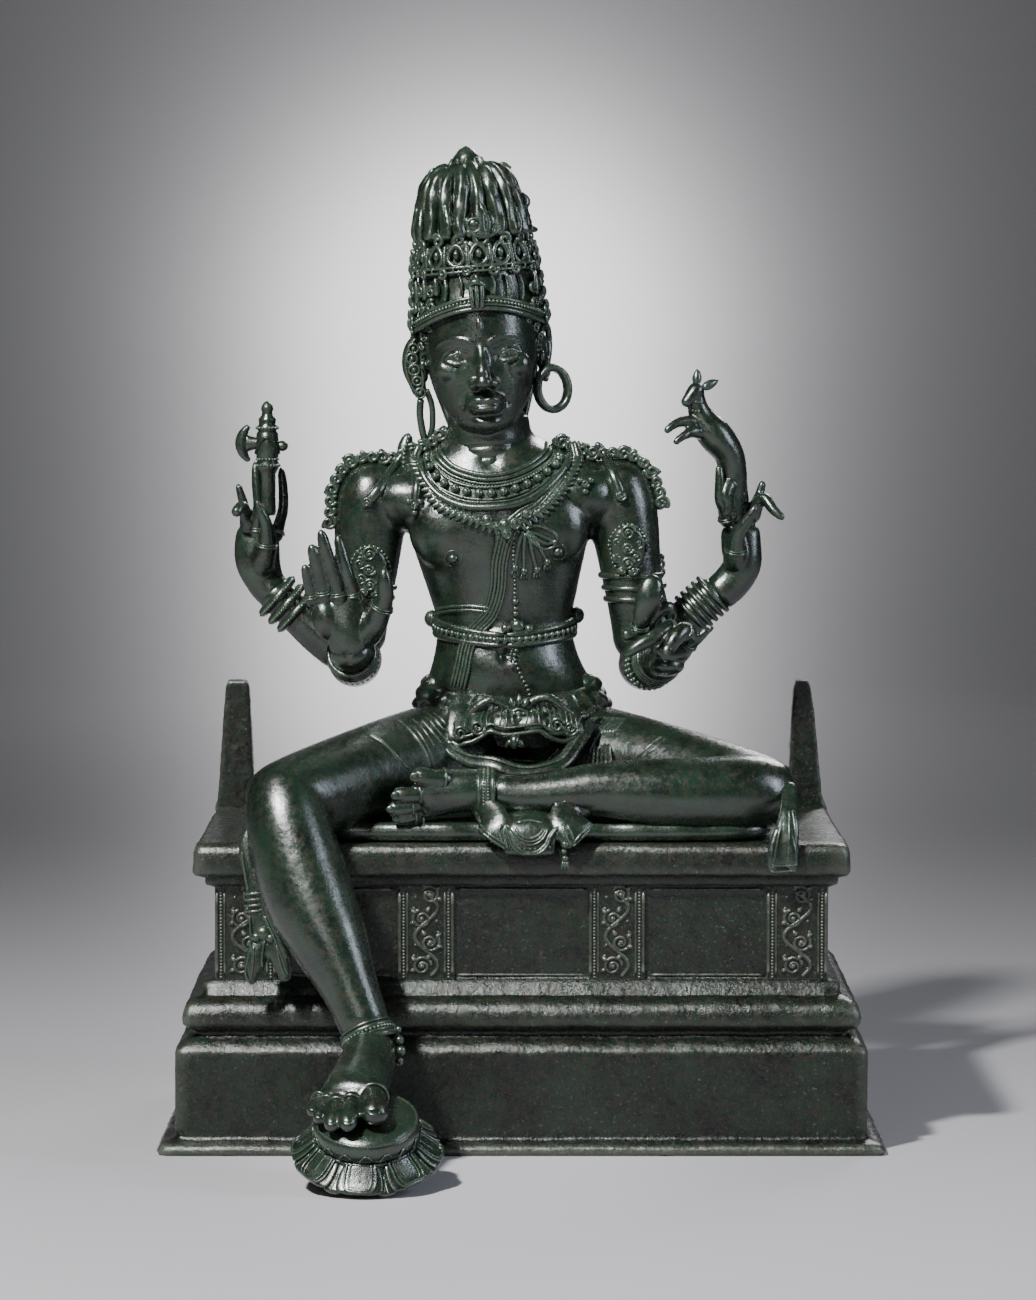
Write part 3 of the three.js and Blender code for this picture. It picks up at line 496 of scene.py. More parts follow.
def sums(tree, operation, *values):
    """One step of arithmetic on sockets and plain numbers."""
    links = {k: v for k, v in enumerate(values) if not isinstance(v, float)}
    numbers = {f"in_{k}": v for k, v in enumerate(values) if isinstance(v, float)}
    return node(tree, "ShaderNodeMath", links, operation=operation, **numbers).outputs[0]


def painted(tree, cover, under, over):
    """A colour under another, which covers a share of it; each is a hex value or a socket."""
    links = {0: cover}
    numbers = {}
    for k, paint in ((6, under), (7, over)):
        if isinstance(paint, str):
            numbers[f"in_{k}"] = colour(paint)
        else:
            links[k] = paint
    return node(tree, "ShaderNodeMix", links, data_type="RGBA", **numbers).outputs[2]


CLOUDS, DENTS, SPECKLE, PITS, FLECKS = 34, 16, 6.5, 3.4, 2.6  # sizes of the noises in millimetres
SHARP, HOLLOW_PAINTED_SHADE = (0.52, 0.64), (0.49, 0.43)  # Pointiness, where a flat surface has 0.5
BUMP_HEIGHT = 1.0 * MM
METAL_SHARE = 0.3  # the oxide skin hides most of the metal


def patinated_bronze(name, deep, body, brown, rubbed, rub, dust, dust_share, gloss, coat, bumps):
    """Cast bronze under a dark, waxed oxide skin, rubbed on its edges, flecked with pale dust, and darkened in its
    hollows as painted shade.
    """
    made = bpy.data.materials.new(name)
    made.use_nodes = True
    tree = made.node_tree
    surface = tree.nodes["Principled BSDF"]
    place = node(tree, "ShaderNodeTexCoord").outputs["Object"]
    shape = node(tree, "ShaderNodeNewGeometry").outputs["Pointiness"]
    clouds = grain(tree, place, CLOUDS, 6.0, 0.72)
    speckle = grain(tree, place, SPECKLE, 7.0, 0.8)
    flecks = grain(tree, place, FLECKS, 4.0, 0.7)
    skin_colour = painted(tree, remapped(tree, clouds, 0.34, 0.66), deep, body)
    skin_colour = painted(tree, remapped(tree, speckle, 0.5, 0.6, most=0.9), skin_colour, brown)
    edge = sums(tree, "MULTIPLY", remapped(tree, shape, *SHARP, most=rub), speckle)
    skin_colour = painted(tree, sums(tree, "MULTIPLY", edge, 2.0), skin_colour, rubbed)
    # Painted shade: where Pointiness falls below a flat surface's, in hollows and creases, the colour is darkened
    # towards the deep tone.
    skin_colour = painted(tree, remapped(tree, shape, *HOLLOW_PAINTED_SHADE, most=0.92), skin_colour, deep)
    skin_colour = painted(tree, remapped(tree, flecks, 0.6, 0.7, most=dust_share), skin_colour, dust)
    tree.links.new(skin_colour, surface.inputs["Base Color"])
    dull = remapped(tree, speckle, 0.4, 0.6, *gloss)
    for socket in ("Roughness", "Coat Roughness"):
        tree.links.new(dull, surface.inputs[socket])
    height = sums(
        tree, "MULTIPLY_ADD", grain(tree, place, DENTS, 2.0, 0.5), 1.6, grain(tree, place, PITS, 4.0, 0.75)
    )
    bump = node(tree, "ShaderNodeBump", {"Height": height}, in_0=bumps)
    bump.inputs["Distance"].default_value = BUMP_HEIGHT
    for socket in ("Normal", "Coat Normal"):
        tree.links.new(bump.outputs[0], surface.inputs[socket])
    surface.inputs["Metallic"].default_value = METAL_SHARE
    surface.inputs["Coat Weight"].default_value = coat
    return made


figure_bronze = patinated_bronze(
    "figure_bronze", deep="#0b140f", body="#1d3326", brown="#2a2814", rubbed="#647a66", rub=0.4, dust="#66786c",
    dust_share=0.12, gloss=(0.2, 0.33), coat=1.0, bumps=0.27,
)
plinth_bronze = patinated_bronze(
    "plinth_bronze", deep="#040705", body="#16271c", brown="#251b0d", rubbed="#70776a", rub=0.65, dust="#80857a",
    dust_share=0.4, gloss=(0.2, 0.36), coat=0.4, bumps=0.6,
)
print("materials", figure_bronze.name, plinth_bronze.name)

# %% [markdown]
# ## The torso and arms
#
# Indian bronzes show the body as full of breath: a narrow waist, broad even shoulders and long arms
# without marked muscle. The torso's sections stay level, so a single stretched ball holds it, and the chest,
# shoulders and belly are shallow balls fused into it. The back pair of arms grows from behind the front pair.

# %% Torso, shoulders and arms
SEAT_LEVEL = 281.3
TORSO = [
    [-4, 26, SEAT_LEVEL - 6, 90, 66], [-6, 24, 330, 92, 64], [-8, 20, 368, 84, 58], [-13, 12, 408, 66, 52],
    [-15, 12, 441, 60, 42], [-17, 11, 474, 67, 44], [-19, 9, 507, 76, 48], [-20, 10, 539, 84, 50],
    [-22, 13, 568, 88, 46], [-24, 15, 590, 68, 40], [-28, 16, 608, 40, 35], [-30, 14, 632, 36, 35],
]
ARMS = {
    "right_upper": [
        [-120, 16, 586, 20], [-132, 15, 554, 32], [-137, 12, 500, 29], [-142, 8, 448, 24], [-147, 6, 412, 25]
    ],
    "right_forearm": [[-147, 12, 412, 24], [-147, -34, 412, 23], [-148, -70, 420, 19], [-149, -92, 432, 18]],
    "left_upper": [[76, 16, 589, 20], [87, 15, 556, 31], [96, 12, 500, 28], [102, 8, 446, 23], [107, 6, 408, 24]],
    "left_forearm": [[107, 12, 408, 23], [110, -28, 407, 22], [118, -56, 412, 18], [126, -80, 422, 18]],
    "right_back_upper": [[-124, 40, 556, 26], [-136, 48, 500, 25], [-160, 50, 414, 23]],
    "right_back_forearm": [[-152, 50, 410, 22], [-180, 51, 430, 20], [-210, 51, 456, 17], [-230, 50, 474, 17]],
    "left_back_upper": [[86, 40, 560, 26], [96, 48, 500, 25], [119, 50, 414, 23]],
    "left_back_forearm": [[112, 50, 410, 22], [134, 51, 430, 20], [160, 51, 455, 17], [178, 50, 474, 17]],
}


def torso_shape(wax):
    """The trunk, the chest, the shoulders and the belly."""
    limb(wax, TORSO, sides=64, rings=60, cap=0.02, level=True)
    for x, z in ((-60, 526), (20, 529)):
        blob(wax, (x, -13, z), (40, 24, 38), rings=12)
    for side, z in ((-1, 0), (1, 3)):
        x = -23 + side * 101
        limb(wax, [
            [-28 + side * 12, 20, 598 + z, 20], [-26 + side * 50, 20, 578 + z, 21], [x, 18, 563 + z, 17]
        ], rings=24, sides=20)
        limb(wax, [
            [x + side * 6, 12, 550 + z, 16], [x - side * 16, 4, 552 + z, 26], [x - side * 46, 0, 550 + z, 26]
        ], rings=24, sides=20)
    blob(wax, (-14, -12, 424), (34, 26, 24), rings=12)


def gaussian(places, centre, reach):
    """How near each place is to a centre, from 0 to 1; reach may differ along x, y and z."""
    away = (places - np.array(centre)) / np.array(reach)
    return np.exp(-np.sum(away * away, axis=1))[:, None]


def soften_body(places, normals):
    """The navel, the line between the ribs and the small dimples of the throat."""
    inward = -normals
    change = inward * 5.5 * gaussian(places, (-13, -36, 417), (5, 30, 5))
    change += inward * 2.2 * gaussian(places, (-20, -44, 512), (7, 30, 30))
    change += inward * 2.5 * gaussian(places, (-28, -26, 588), (8, 30, 7))
    return change


bare_torso = Wax()
torso_shape(bare_torso)
trunk = fused("trunk", bare_torso, 4.0, 4)
skin = search_tree(trunk)

upper = Wax()
torso_shape(upper)
for name, stations in ARMS.items():
    limb(upper, stations, sides=36, rings=36, cap=0.16)
upper_body = fused("upper_body", upper, 2.9, 5)
move_points(upper_body, soften_body)
body_skin = search_tree(upper_body)
finished("upper_body", upper_body, stands_for="figure")

# %% [markdown]
# ## Resting ornaments on the skin
#
# A wax thread lies on what it is pressed to. The bare torso is kept as a search tree, and a ray from in
# front, or from the torso's own axis, finds the skin under any point of a necklace or a belt.

# %% Finding the skin
def on_front(x, z, lift=0.0, tree=skin):
    """The point of the skin seen from the front at x and z, lifted along its normal."""
    place, normal, _, _ = tree.ray_cast(Vector((x, -900, z)), Vector((0, 1, 0)))
    if place is None:
        return [x, 10, z]
    return list(place + normal * lift)


def torso_axis(z):
    """The middle of the torso at a height."""
    heights = [s[2] for s in TORSO]
    return [float(np.interp(z, heights, [s[k] for s in TORSO])) for k in (0, 1)]


def around_torso(turn, z, lift):
    """The point of the skin at a turn round the torso: 0 is the front and 90 the figure's left."""
    x, y = torso_axis(z)
    out = Vector(direction_at(turn))
    place, _, _, _ = skin.ray_cast(Vector((x, y, z)) + out * 400, -out)
    return list(place + out * lift) if place else [x, y, z]


def torso_band(z, lift, droop):
    """Points of a closed band round the torso, which hangs lower in front by its droop."""
    return [around_torso(t, z - droop * cos(radians(t)), lift) for t in range(0, 360, 9)]


print("skin at the chest", [round(v, 1) for v in on_front(-20, 540)])

# %% [markdown]
# ## The legs
#
# One leg hangs and the other lies folded across the seat, in the posture called royal ease. Thighs and shins
# are stretched balls again, fused at the knees, with the shin's front a little keeled.

# %% Legs
LEGS = {
    "right_thigh": [
        [-36, 22, 328, 56, 50], [-86, -36, 325, 48, 46], [-142, -108, 315, 43, 42], [-200, -178, 302, 38, 36],
        [-218, -198, 296, 26, 27]
    ],
    "right_shin": [
        [-203, -172, 326, 26], [-200, -192, 292, 35], [-181, -215, 230, 38], [-162, -234, 190, 33],
        [-143, -252, 150, 24], [-126, -268, 110, 21]
    ],
    "left_thigh": [
        [26, 22, 328, 54, 50], [82, -16, 323, 46, 44], [144, -62, 315, 38, 38], [204, -110, 304, 35, 33],
        [232, -124, 299, 24, 25]
    ],
    "left_shin": [
        [236, -104, 300, 22], [204, -118, 303, 33], [160, -128, 304, 32], [118, -134, 305, 30], [70, -138, 308, 25],
        [34, -141, 305.4, 21], [-2, -142, 304, 18.5], [-32, -142, 309, 17]
    ],
}

lower = Wax()
for stations in LEGS.values():
    limb(lower, stations, sides=40, rings=44, facing=UP, cap=0.08)
limb(lower, [[-60, 34, 314, 46, 36], [0, 36, 314, 52, 38], [56, 34, 314, 46, 36]], facing=UP, sides=30, rings=20)
limb(lower, [[-3, -10, 324, 50, 24], [0, -60, 304, 52, 20], [0, -96, 292, 44, 15]], facing=UP, sides=30, rings=20)
lower_body = fused("legs", lower, 3.2, 4)
leg_skin = search_tree(lower_body)
finished("legs", lower_body)

# %% [markdown]
# ## Hands
#
# The hands say who the figure is, so each finger has its own stations. A finger in these bronzes is a smooth
# tapering roll, with a ring low on it and no bony joints. The palm, the ball of the thumb and the fingers are
# fused with a small voxel, and the creases of the palm are pressed in afterwards.

# %% Hand helpers
def engraved(line, width, depth):
    """A change that presses a groove along a line into the skin."""
    path = even(line, width / 2)

    def change(places, normals):
        low, high = path.min(axis=0) - 3 * width, path.max(axis=0) + 3 * width
        near = np.where(np.all((places > low) & (places < high), axis=1))[0]
        moved = np.zeros_like(places)
        if len(near):
            gaps = np.linalg.norm(places[near][:, None] - path[None], axis=2).min(axis=1)
            moved[near] = -normals[near] * (depth * np.exp(-((gaps / width) ** 2)))[:, None]
        return moved

    return change


def digits(wax, rows, cap=0.16):
    """Fingers or toes, each a row of stations."""
    for stations in rows:
        limb(wax, stations, rings=26, cap=cap)


REASSURING = [
    [[-181, -88, 463, 6], [-183, -92, 475, 5], [-186, -97, 489, 4.3], [-188, -101, 501, 3.6]],
    [[-170, -86, 462, 7], [-173, -92, 480, 6], [-178, -100, 502, 5.6], [-182, -105, 519, 4.4]],
    [[-157, -86, 462, 7.4], [-160, -92, 479, 6.4], [-168, -100, 508, 5.9], [-174, -105, 532, 4.6]],
    [[-144, -84, 462, 7], [-147, -88, 478, 6.2], [-154, -92, 503, 5.5], [-160, -93, 527, 4.4]],
    [
        [-140, -76, 430, 12], [-131, -88, 443, 12], [-124, -94, 457, 10.5], [-118, -101, 473, 7.6],
        [-118, -104, 484, 7], [-119, -107, 499, 5]
    ],
]
AXE_HAND = [
    [[-237, 46, 516, 7.5], [-236, 42, 529, 6], [-235, 40, 545, 4.8], [-237, 40, 565, 4.2], [-238, 42, 586, 3.2]],
    [[-222, 54, 512, 7.5], [-218, 57, 526, 5.6], [-214, 60, 542, 4.8], [-214, 62, 560, 4.4], [-216, 62, 580, 3.4]],
    [[-244, 46, 522, 6.4], [-246, 42, 535, 5.4], [-249, 31, 545, 5.4], [-256, 20, 538, 5]],
    [[-247, 50, 522, 6], [-248, 50, 542, 4.6], [-251, 50, 554, 3.9], [-254, 50, 565, 2.8]],
    [
        [-230, 42, 484, 10], [-230, 36, 498, 10.5], [-227, 32, 512, 9.4], [-227, 25, 528, 5.8],
        [-231, 22, 540, 4.4], [-235, 22, 550, 3.2]
    ],
]
ANTELOPE_HAND = [
    [[186, 42, 526, 8], [182, 34, 540, 6], [177, 29, 552, 5], [177, 28, 566, 4.6], [176, 28, 584, 3.5]],
    [[199, 50, 526, 8], [200, 54, 540, 6.2], [199, 58, 552, 5.2], [198, 60, 570, 4.4], [198, 60, 588, 3.4]],
    [[207, 48, 530, 6.6], [211, 46, 545, 5.8], [217, 42, 552, 5.4], [225, 34, 542, 4.7], [235, 29, 533, 3.3]],
    [[205, 50, 528, 6.2], [208, 50, 542, 5.4], [213, 52, 554, 4.3], [217, 52, 568, 3.2]],
    [[190, 44, 488, 10], [191, 36, 504, 10], [193, 29, 521, 7], [202, 24, 534, 4.8], [210, 22, 548, 3]],
]
BECKONING = [
    [
        [112, -84, 432, 9, 9], [101, -96, 440, 5, 6], [103, -104, 452, 7, 6], [109, -109, 470, 11, 7],
        [113, -108, 484, 10, 6], [115, -104, 492, 6, 4]
    ],
    [[118, -92, 434, 8], [106, -98, 440, 6.4], [95, -104, 440, 6.4], [86, -106, 439, 6]],
    [[138, -92, 436, 8], [128, -104, 445, 7], [114, -114, 438, 6.6], [101, -118, 431, 5.8], [87, -118, 421, 3.8]],
    [[112, -96, 440, 6], [112, -100, 450, 5], [119, -101, 460, 5.8], [127, -98, 463, 6.4], [130, -92, 450, 6.8]],
    [[146, -94, 436, 8], [142, -108, 444, 7.4], [133, -117, 438, 7.2], [124, -121, 424, 5.6]],
    [[142, -88, 426, 8], [145, -92, 430, 6.4], [153, -96, 436, 4.8], [164, -96, 446, 3.4]],
]
CREASES = [
    [[-176, -104, 455], [-160, -104, 461], [-141, -104, 471]],
    [[-174, -104, 451], [-162, -104, 456], [-148, -104, 463]],
    [[-160, -104, 469], [-154, -104, 456], [-143, -104, 444], [-138, -104, 436]],
    [[-253, 34, 516], [-240, 32, 518], [-228, 32, 518]], [[-246, 33, 492], [-240, 32, 506], [-231, 31, 516]],
    [[208, 33, 510], [200, 33, 520], [192, 31, 530]], [[203, 33, 494], [198, 33, 506], [193, 30, 520]],
]

# %% Front hands
front = Wax()
limb(front, [
    [-148, -60, 422, 17], [-149, -78, 428, 18], [-151, -84, 440, 20, 14], [-157, -84, 458, 25, 12],
    [-162, -86, 472, 23, 8]
], facing=FRONT, sides=30, cap=0.1)
blob(front, (-170, -88, 452), (12, 10, 18), turn=(0, -8, 0), rings=12)
digits(front, REASSURING)
limb(front, [
    [118, -54, 412, 18], [124, -72, 420, 17], [130, -86, 426, 19, 15], [132, -98, 432, 17, 12]
], facing=UP, sides=30, rings=26, cap=0.14)
blob(front, (126, -86, 412), (16, 16, 10), rings=12)
digits(front, BECKONING)
front_hands = fused("front_hands", front, 1.45, 2)
for line in CREASES[:3]:
    move_points(front_hands, engraved(line, 1.5, 1.5))
finished("front_hands", front_hands)

# %% Back hands
back = Wax()
limb(back, [
    [-219, 50, 464, 16], [-229, 51, 476, 17, 15], [-236, 50, 494, 20, 14], [-237, 50, 512, 20, 12],
    [-236, 50, 528, 17, 8]
], sides=30, cap=0.1)
digits(back, AXE_HAND, cap=0.12)
limb(back, [
    [172, 50, 462, 16], [188, 51, 476, 17, 15], [198, 50, 492, 17, 14], [197, 50, 510, 18, 13],
    [196, 50, 530, 17, 10]
], sides=30, cap=0.1)
digits(back, ANTELOPE_HAND, cap=0.12)
back_hands = fused("back_hands", back, 1.5, 2)
for line in CREASES[3:]:
    move_points(back_hands, engraved(line, 1.4, 1.3))
finished("back_hands", back_hands)

# %% [markdown]
# ## Feet
#
# The hanging foot stands on its lotus with its toes side by side; the folded one rests on its edge, so its
# top faces forward and its toes stack up. Nails are separate thin shells, set on the toes and a few fingers.

# %% Feet and nails
HANGING_FOOT = [
    [
        [-126, -262, 116, 21, 23], [-127, -276, 100, 22, 25], [-131, -306, 90, 24, 21], [-136, -338, 82, 27, 16],
        [-140, -358, 74, 28, 11]
    ],
    [[-126, -250, 104, 16, 14], [-124, -244, 92, 18, 14], [-126, -262, 84, 19, 14]],
]
HANGING_TOES = [
    [[-122, -344, 79, 11.5], [-121, -362, 75, 10.5], [-120, -376, 69, 12, 10.5], [-120, -386, 62, 9, 7]],
    [[-138, -350, 77, 8.5], [-140, -370, 71, 7.2], [-141, -384, 63.5, 8, 7], [-141.5, -393, 56, 5.5, 5]],
    [[-149, -348, 76, 8], [-152, -368, 69, 6.6], [-154, -381, 62, 7.2, 6.4], [-155, -389, 55.5, 5, 4.6]],
    [[-157, -344, 75, 7.6], [-161, -360, 70.5, 6], [-164, -371, 65, 6.6, 5.8], [-166, -378, 60, 4.6, 4]],
    [[-163, -338, 76, 7], [-168, -352, 73, 5.6], [-170, -361, 69, 6.2, 5.4], [-171, -368, 65, 4.4, 4]],
]
FOLDED_FOOT = [
    [
        [-14, -142, 305, 17, 17], [-34, -142, 309, 17.5, 17], [-56, -144, 308, 19, 17], [-78, -147, 306, 20, 14],
        [-92, -149, 304, 19, 11]
    ],
    [[-14, -134, 304, 16, 15], [-6, -128, 301, 16, 15], [-16, -126, 299, 15, 14]],
]
FOLDED_TOES = [
    [[-60, -150, 318, 9.5], [-74, -154, 319.5, 8.2], [-86, -156, 321, 9, 8.6], [-95, -156, 321, 6.5, 6.5]],
    [[-82, -150, 307, 8.6], [-94, -156, 305.5, 7.2], [-104, -158, 305.5, 7.8, 7.2], [-111, -158, 305, 5.5, 5.5]],
    [[-88, -149, 296, 7.8], [-100, -154, 294, 6.4], [-109, -156, 293.5, 7, 6.4], [-115, -156, 293, 5, 5]],
    [[-86, -146, 288, 7], [-97, -151, 285.5, 5.6], [-105, -153, 285, 6, 5.6], [-110, -153, 284.5, 4.4, 4.4]],
    [[-82, -141, 285, 6], [-90, -146, 283.5, 5], [-97, -148, 283, 5.2, 5], [-102, -148, 282.6, 4, 4]],
]
feet = Wax()
for stations in HANGING_FOOT:
    limb(feet, stations, facing=UP, sides=28, rings=26, cap=0.16)
digits(feet, HANGING_TOES, cap=0.2)
for stations in FOLDED_FOOT:
    limb(feet, stations, facing=FRONT, sides=28, rings=26, cap=0.16)
digits(feet, FOLDED_TOES, cap=0.2)
finished("feet", fused("feet", feet, 1.6, 2))

nails = Wax()


def nail(wax, place, along, facing, width, length):
    """A thin domed shell that lies on a fingertip."""
    own = frame_along(place, along, facing)
    blob(wax, (0, 0, 0), (width, 1.0, length), frame=own, sides=14)


TOE_NAILS = ((
    HANGING_TOES, 0.45, 0.55, (-0.25, 0.62), (0, -0.55, 0.9), (0.52, 0.6)
), (FOLDED_TOES, 0.5, 0.5, (-0.8, 0.1), (-0.1, -1, 0.1), (0.48, 0.58)),)
for toes, near, far, (out, up), facing, (across, along) in TOE_NAILS:
    for row in toes:
        tip, before = Vector(row[-1][:3]), Vector(row[-2][:3])
        wide = row[-2][3]
        place = before * near + tip * far + Vector((0, out * wide, up * wide))
        nail(nails, place, tip - before, facing, wide * across, wide * along)
nail(nails, (125.5, -125.5, 428), (-4, -4, -14), (-0.1, -1, 0.3), 3.6, 5)
nail(nails, (164, -99, 444), (8, 0, 9), (0.2, -1, -0.3), 2, 3.6)
nail(nails, (-233.5, 18.5, 547), (-4, 0, 10), (0.2, -1, 0.2), 2.2, 4)
finished("nails", nails)

# %% [markdown]
# ## The head
#
# The head is built upright in its own frame, with the neck at the origin, and leaned at the end. Its face
# is a plain, calm one: three equal parts from hairline to brows, nose and chin, eyes one eye's width apart.
# The broad forms are fused first; the sockets, nostrils and lip corners are then pressed in, as a thumb and
# a stick press wax; and the eyelids and brows are laid on last, because a second smoothing would lose them.

# %% Face proportions
NECK = (-29, 14, 605)
HEAD_FRAME = frame_at(NECK, (0, -4.5, 0))
CHIN = 10
FACE_HEIGHT = 111
THIRD = FACE_HEIGHT / 3
MOUTH = CHIN + THIRD * 0.64
NOSE_BASE = CHIN + THIRD
EYES = CHIN + THIRD * 1.72
BROWS = CHIN + THIRD * 2.04
CROWN_BASE = CHIN + FACE_HEIGHT - 6
EYE_SPAN = 21
THIRD_EYE = 101
HEAD = [
    [0, -30, 8, 13, 14], [0, -26, 14, 24, 25], [0, -20, 24, 32, 32], [0, -14, 36, 39, 38], [0, -10, 50, 44, 43],
    [0, -7, 66, 48, 47], [0, -5, 84, 50, 50], [0, -4, 100, 51, 51], [0, -3, 115, 51, 51], [0, -2, 137, 46, 46],
]

# %% Broad forms of the head
skull = Wax()
limb(skull, HEAD, sides=56, rings=48, cap=0.05, level=True)
limb(skull, [[0, -6, -34, 35, 33], [0, -6, -6, 34, 33], [0, -6, 30, 34, 34]], level=True, sides=40, rings=20)
blob(skull, (0, -42, CHIN + 8), (15, 12, 11), rings=12)
for side in (-1, 1):
    blob(skull, (side * 27, -36, 66), (16, 12, 13), rings=12)
    blob(skull, (side * 8.5, -57, NOSE_BASE + 3.5), (5.6, 7, 5.4), rings=12)
blob(skull, (0, -50, MOUTH), (18, 8, 11), rings=12)
limb(skull, [
    [0, -47, BROWS + 6, 5, 5], [0, -55, EYES - 1, 5, 6.5], [0, -61, NOSE_BASE + 16, 6, 8],
    [0, -64, NOSE_BASE + 7, 8, 9]
], cap=0.2, rings=24, sides=20)
blob(skull, (0, -66, NOSE_BASE + 5), (7.4, 6.4, 6.2), rings=12)
limb(skull, [
    [-18, -50, MOUTH - 0.5, 1.5], [-8, -57.5, MOUTH + 3, 3.4], [0, -59, MOUTH + 2.2, 3.2],
    [8, -57.5, MOUTH + 3, 3.4], [18, -50, MOUTH - 0.5, 1.5]
], sides=14)
limb(skull, [
    [-15, -51, MOUTH - 1.5, 1.5], [-7, -57.5, MOUTH - 4.5, 4], [0, -59, MOUTH - 5, 4.4], [7, -57.5, MOUTH - 4.5, 4],
    [15, -51, MOUTH - 1.5, 1.5]
], sides=14)
skull_mesh = fused("skull", skull, 1.3, 8)


def pressed_features(places, normals):
    """Sockets, nostrils, lip corners and the hollow over the chin."""
    change = np.zeros_like(places)
    for side in (-1, 1):
        change += (0, 4.4, 0) * gaussian(places, (side * EYE_SPAN, -50, EYES + 1), (12, 16, 7.5))
        change += (0, 2.6, 0) * gaussian(places, (side * 18, -50, MOUTH), (3.4, 10, 3))
        change += (0, 1.5, 3.4) * gaussian(places, (side * 4.4, -60, NOSE_BASE - 1), (2.4, 6, 2.2))
    change += (0, 2.6, 0) * gaussian(places, (0, -54, CHIN + 13), (11, 12, 4))
    change += (0, 1.2, 0) * gaussian(places, (0, -58, NOSE_BASE - 5), (2.6, 8, 4))
    change += (0, 2.2, 0) * gaussian(places, (0, -60, MOUTH - 0.9), (15, 10, 1.3))
    for fold in (-4, -14):
        change -= normals * 1.5 * gaussian(places * (0, 0, 1), (0, 0, fold), (1, 1, 1.7))
    return change


move_points(skull_mesh, pressed_features)
face_skin = search_tree(skull_mesh)
probe = Wax()
probe.add(*mesh_arrays(skull_mesh))

# %% Eyes, brows and ears
for side in (-1, 1):
    blob(probe, (side * EYE_SPAN, -42, EYES), (11.5, 8, 6.2), sides=28, rings=18)


def on_face(x, z, lift):
    """The point of the face seen from the front at x and z, lifted off it."""
    return on_front(x, z, lift, face_skin)


for side in (-1, 1):
    for height, thick in ((5.2, 1.4), (-4.2, 1.0)):
        lid = []
        for across in np.linspace(-12, 12, 9):
            rise = height * (1 - (across / 12) ** 2)
            round_eye = sqrt(max(0.02, 1 - (across / 12.6) ** 2 - (rise / 8.5) ** 2))
            lid.append((side * (EYE_SPAN + across), -42 - 9 * round_eye, EYES + rise))
        cord(probe, lid, thick, sides=10, spacing=1.2)
    crease = [on_face(side * x, EYES + z, 0.2) for x, z in ((10, 5), (20, 9), (30, 7.5), (36, 3))]
    cord(probe, crease, 0.7, spacing=1.5, taper=0.4)
    brow = [on_face(side * x, BROWS + z, 0.1) for x, z in ((6, 1), (14, 5.2), (24, 6.6), (34, 4.4), (41, -1))]
    cord(probe, brow, 1.3, sides=10, spacing=1.5, taper=0.45)
    helix = [(side * x, y, EYES + z) for x, y, z in (
        (51, -6, 4), (54, -4, 18), (57, 4, 25), (60, 13, 20), (60, 15, 4), (57, 9, -10), (55, 2, -18),
        (54.5, -1, -27)
    )]
    cord(probe, helix, 3.1, sides=10)
    inner = [(side * x, y, EYES + z) for x, y, z in ((55, 5, 15), (57.5, 10, 8), (56.5, 8, -4), (54.5, 3, -10))]
    cord(probe, inner, 2.2, sides=10, taper=0.3)
    blob(probe, (side * 52, 6, EYES + 2), (4.5, 10, 21), rings=12)
    blob(probe, (side * 53, -7, EYES - 3), (3, 3.4, 5), rings=12)
blob(probe, on_face(0, THIRD_EYE, 0.2), (1.9, 1.6, 6.2), rings=12)
head_mesh = fused("head", probe, 1.12, 1)
head_mesh.transform(HEAD_FRAME)
finished("head", head_mesh)

# %% [markdown]
# ## Locks on the nape and marks on the face
#
# Behind, thick separate locks fall from under the crown to the shoulders. The rims of the irises and of the
# third eye are threads thinner than the head's voxel, so they are laid on after it has been fused.

# %% Locks on the nape
nape = Wax()
for k in range(13):
    turn = radians(118 + 124 * k / 12)
    fall = ((50, 50, 114), (54, 54, 92), (50, 50, 60), (42, 42, 32), (35, 31, 8), (35, 29, -12))
    lock = [(across * sin(turn), 6 - back * cos(turn), z) for across, back, z in fall]
    cord(nape, lock, 5.4, spacing=4, taper=0.5)
nape.move(HEAD_FRAME)
finished("nape_locks", nape)

# %% Marks on the face
face_marks = Wax()
lens = [on_face(x, THIRD_EYE + z, 0.3) for x, z in (
    (0, 9), (2.6, 4), (3.4, 0), (2.6, -4), (0, -9), (-2.6, -4), (-3.4, 0), (-2.6, 4)
)]
ring(face_marks, lens, 0.6, spacing=1.5)
for side in (-1, 1):
    iris = circle_points((side * EYE_SPAN, -49.6, EYES + 0.4), 3.4, 14)
    ring(face_marks, iris, 0.42, spacing=1.4)
face_marks.move(HEAD_FRAME)
finished("face_marks", face_marks)

# %% [markdown]
# ## Ear ornaments
#
# The two ears differ, as is usual for this deity: a broad plain hoop fills the left lobe, and a leafy
# pendant with beads hangs from the right one, down to the shoulder.

# %% Ear ornaments
ear_gold = Wax()
hoop_turns = [2 * pi * k / 20 for k in range(20)]
hoop_points = [(60 + 13.5 * sin(t), -4 + 5 * sin(t), 41 + 18.5 * cos(t)) for t in hoop_turns]
ring(ear_gold, hoop_points, 6.4, sides=18, flat=0.6)
ring(ear_gold, [(60 + (x - 60) * 1.12, y, 41 + (z - 41) * 1.12) for x, y, z in hoop_points], 1.1)
cord(ear_gold, [(55, 0, 52), (57, -2, 60), (56, 1, 70)], 3.6, sides=10)
limb(ear_gold, [
    [-54, 6, 96, 6, 4], [-60, 4, 84, 9, 6], [-62, 2, 70, 9.5, 6], [-59, 2, 54, 7.5, 5], [-57, 0, 42, 5, 4]
])
rim = [(-54, -2, 95), (-63, -2, 88), (-68, -3, 74), (-66, -4, 58), (-59, -4, 46), (-54, -4, 54), (-54, -4, 72)]
ring(ear_gold, rim, 1.5, sides=8, spacing=2)
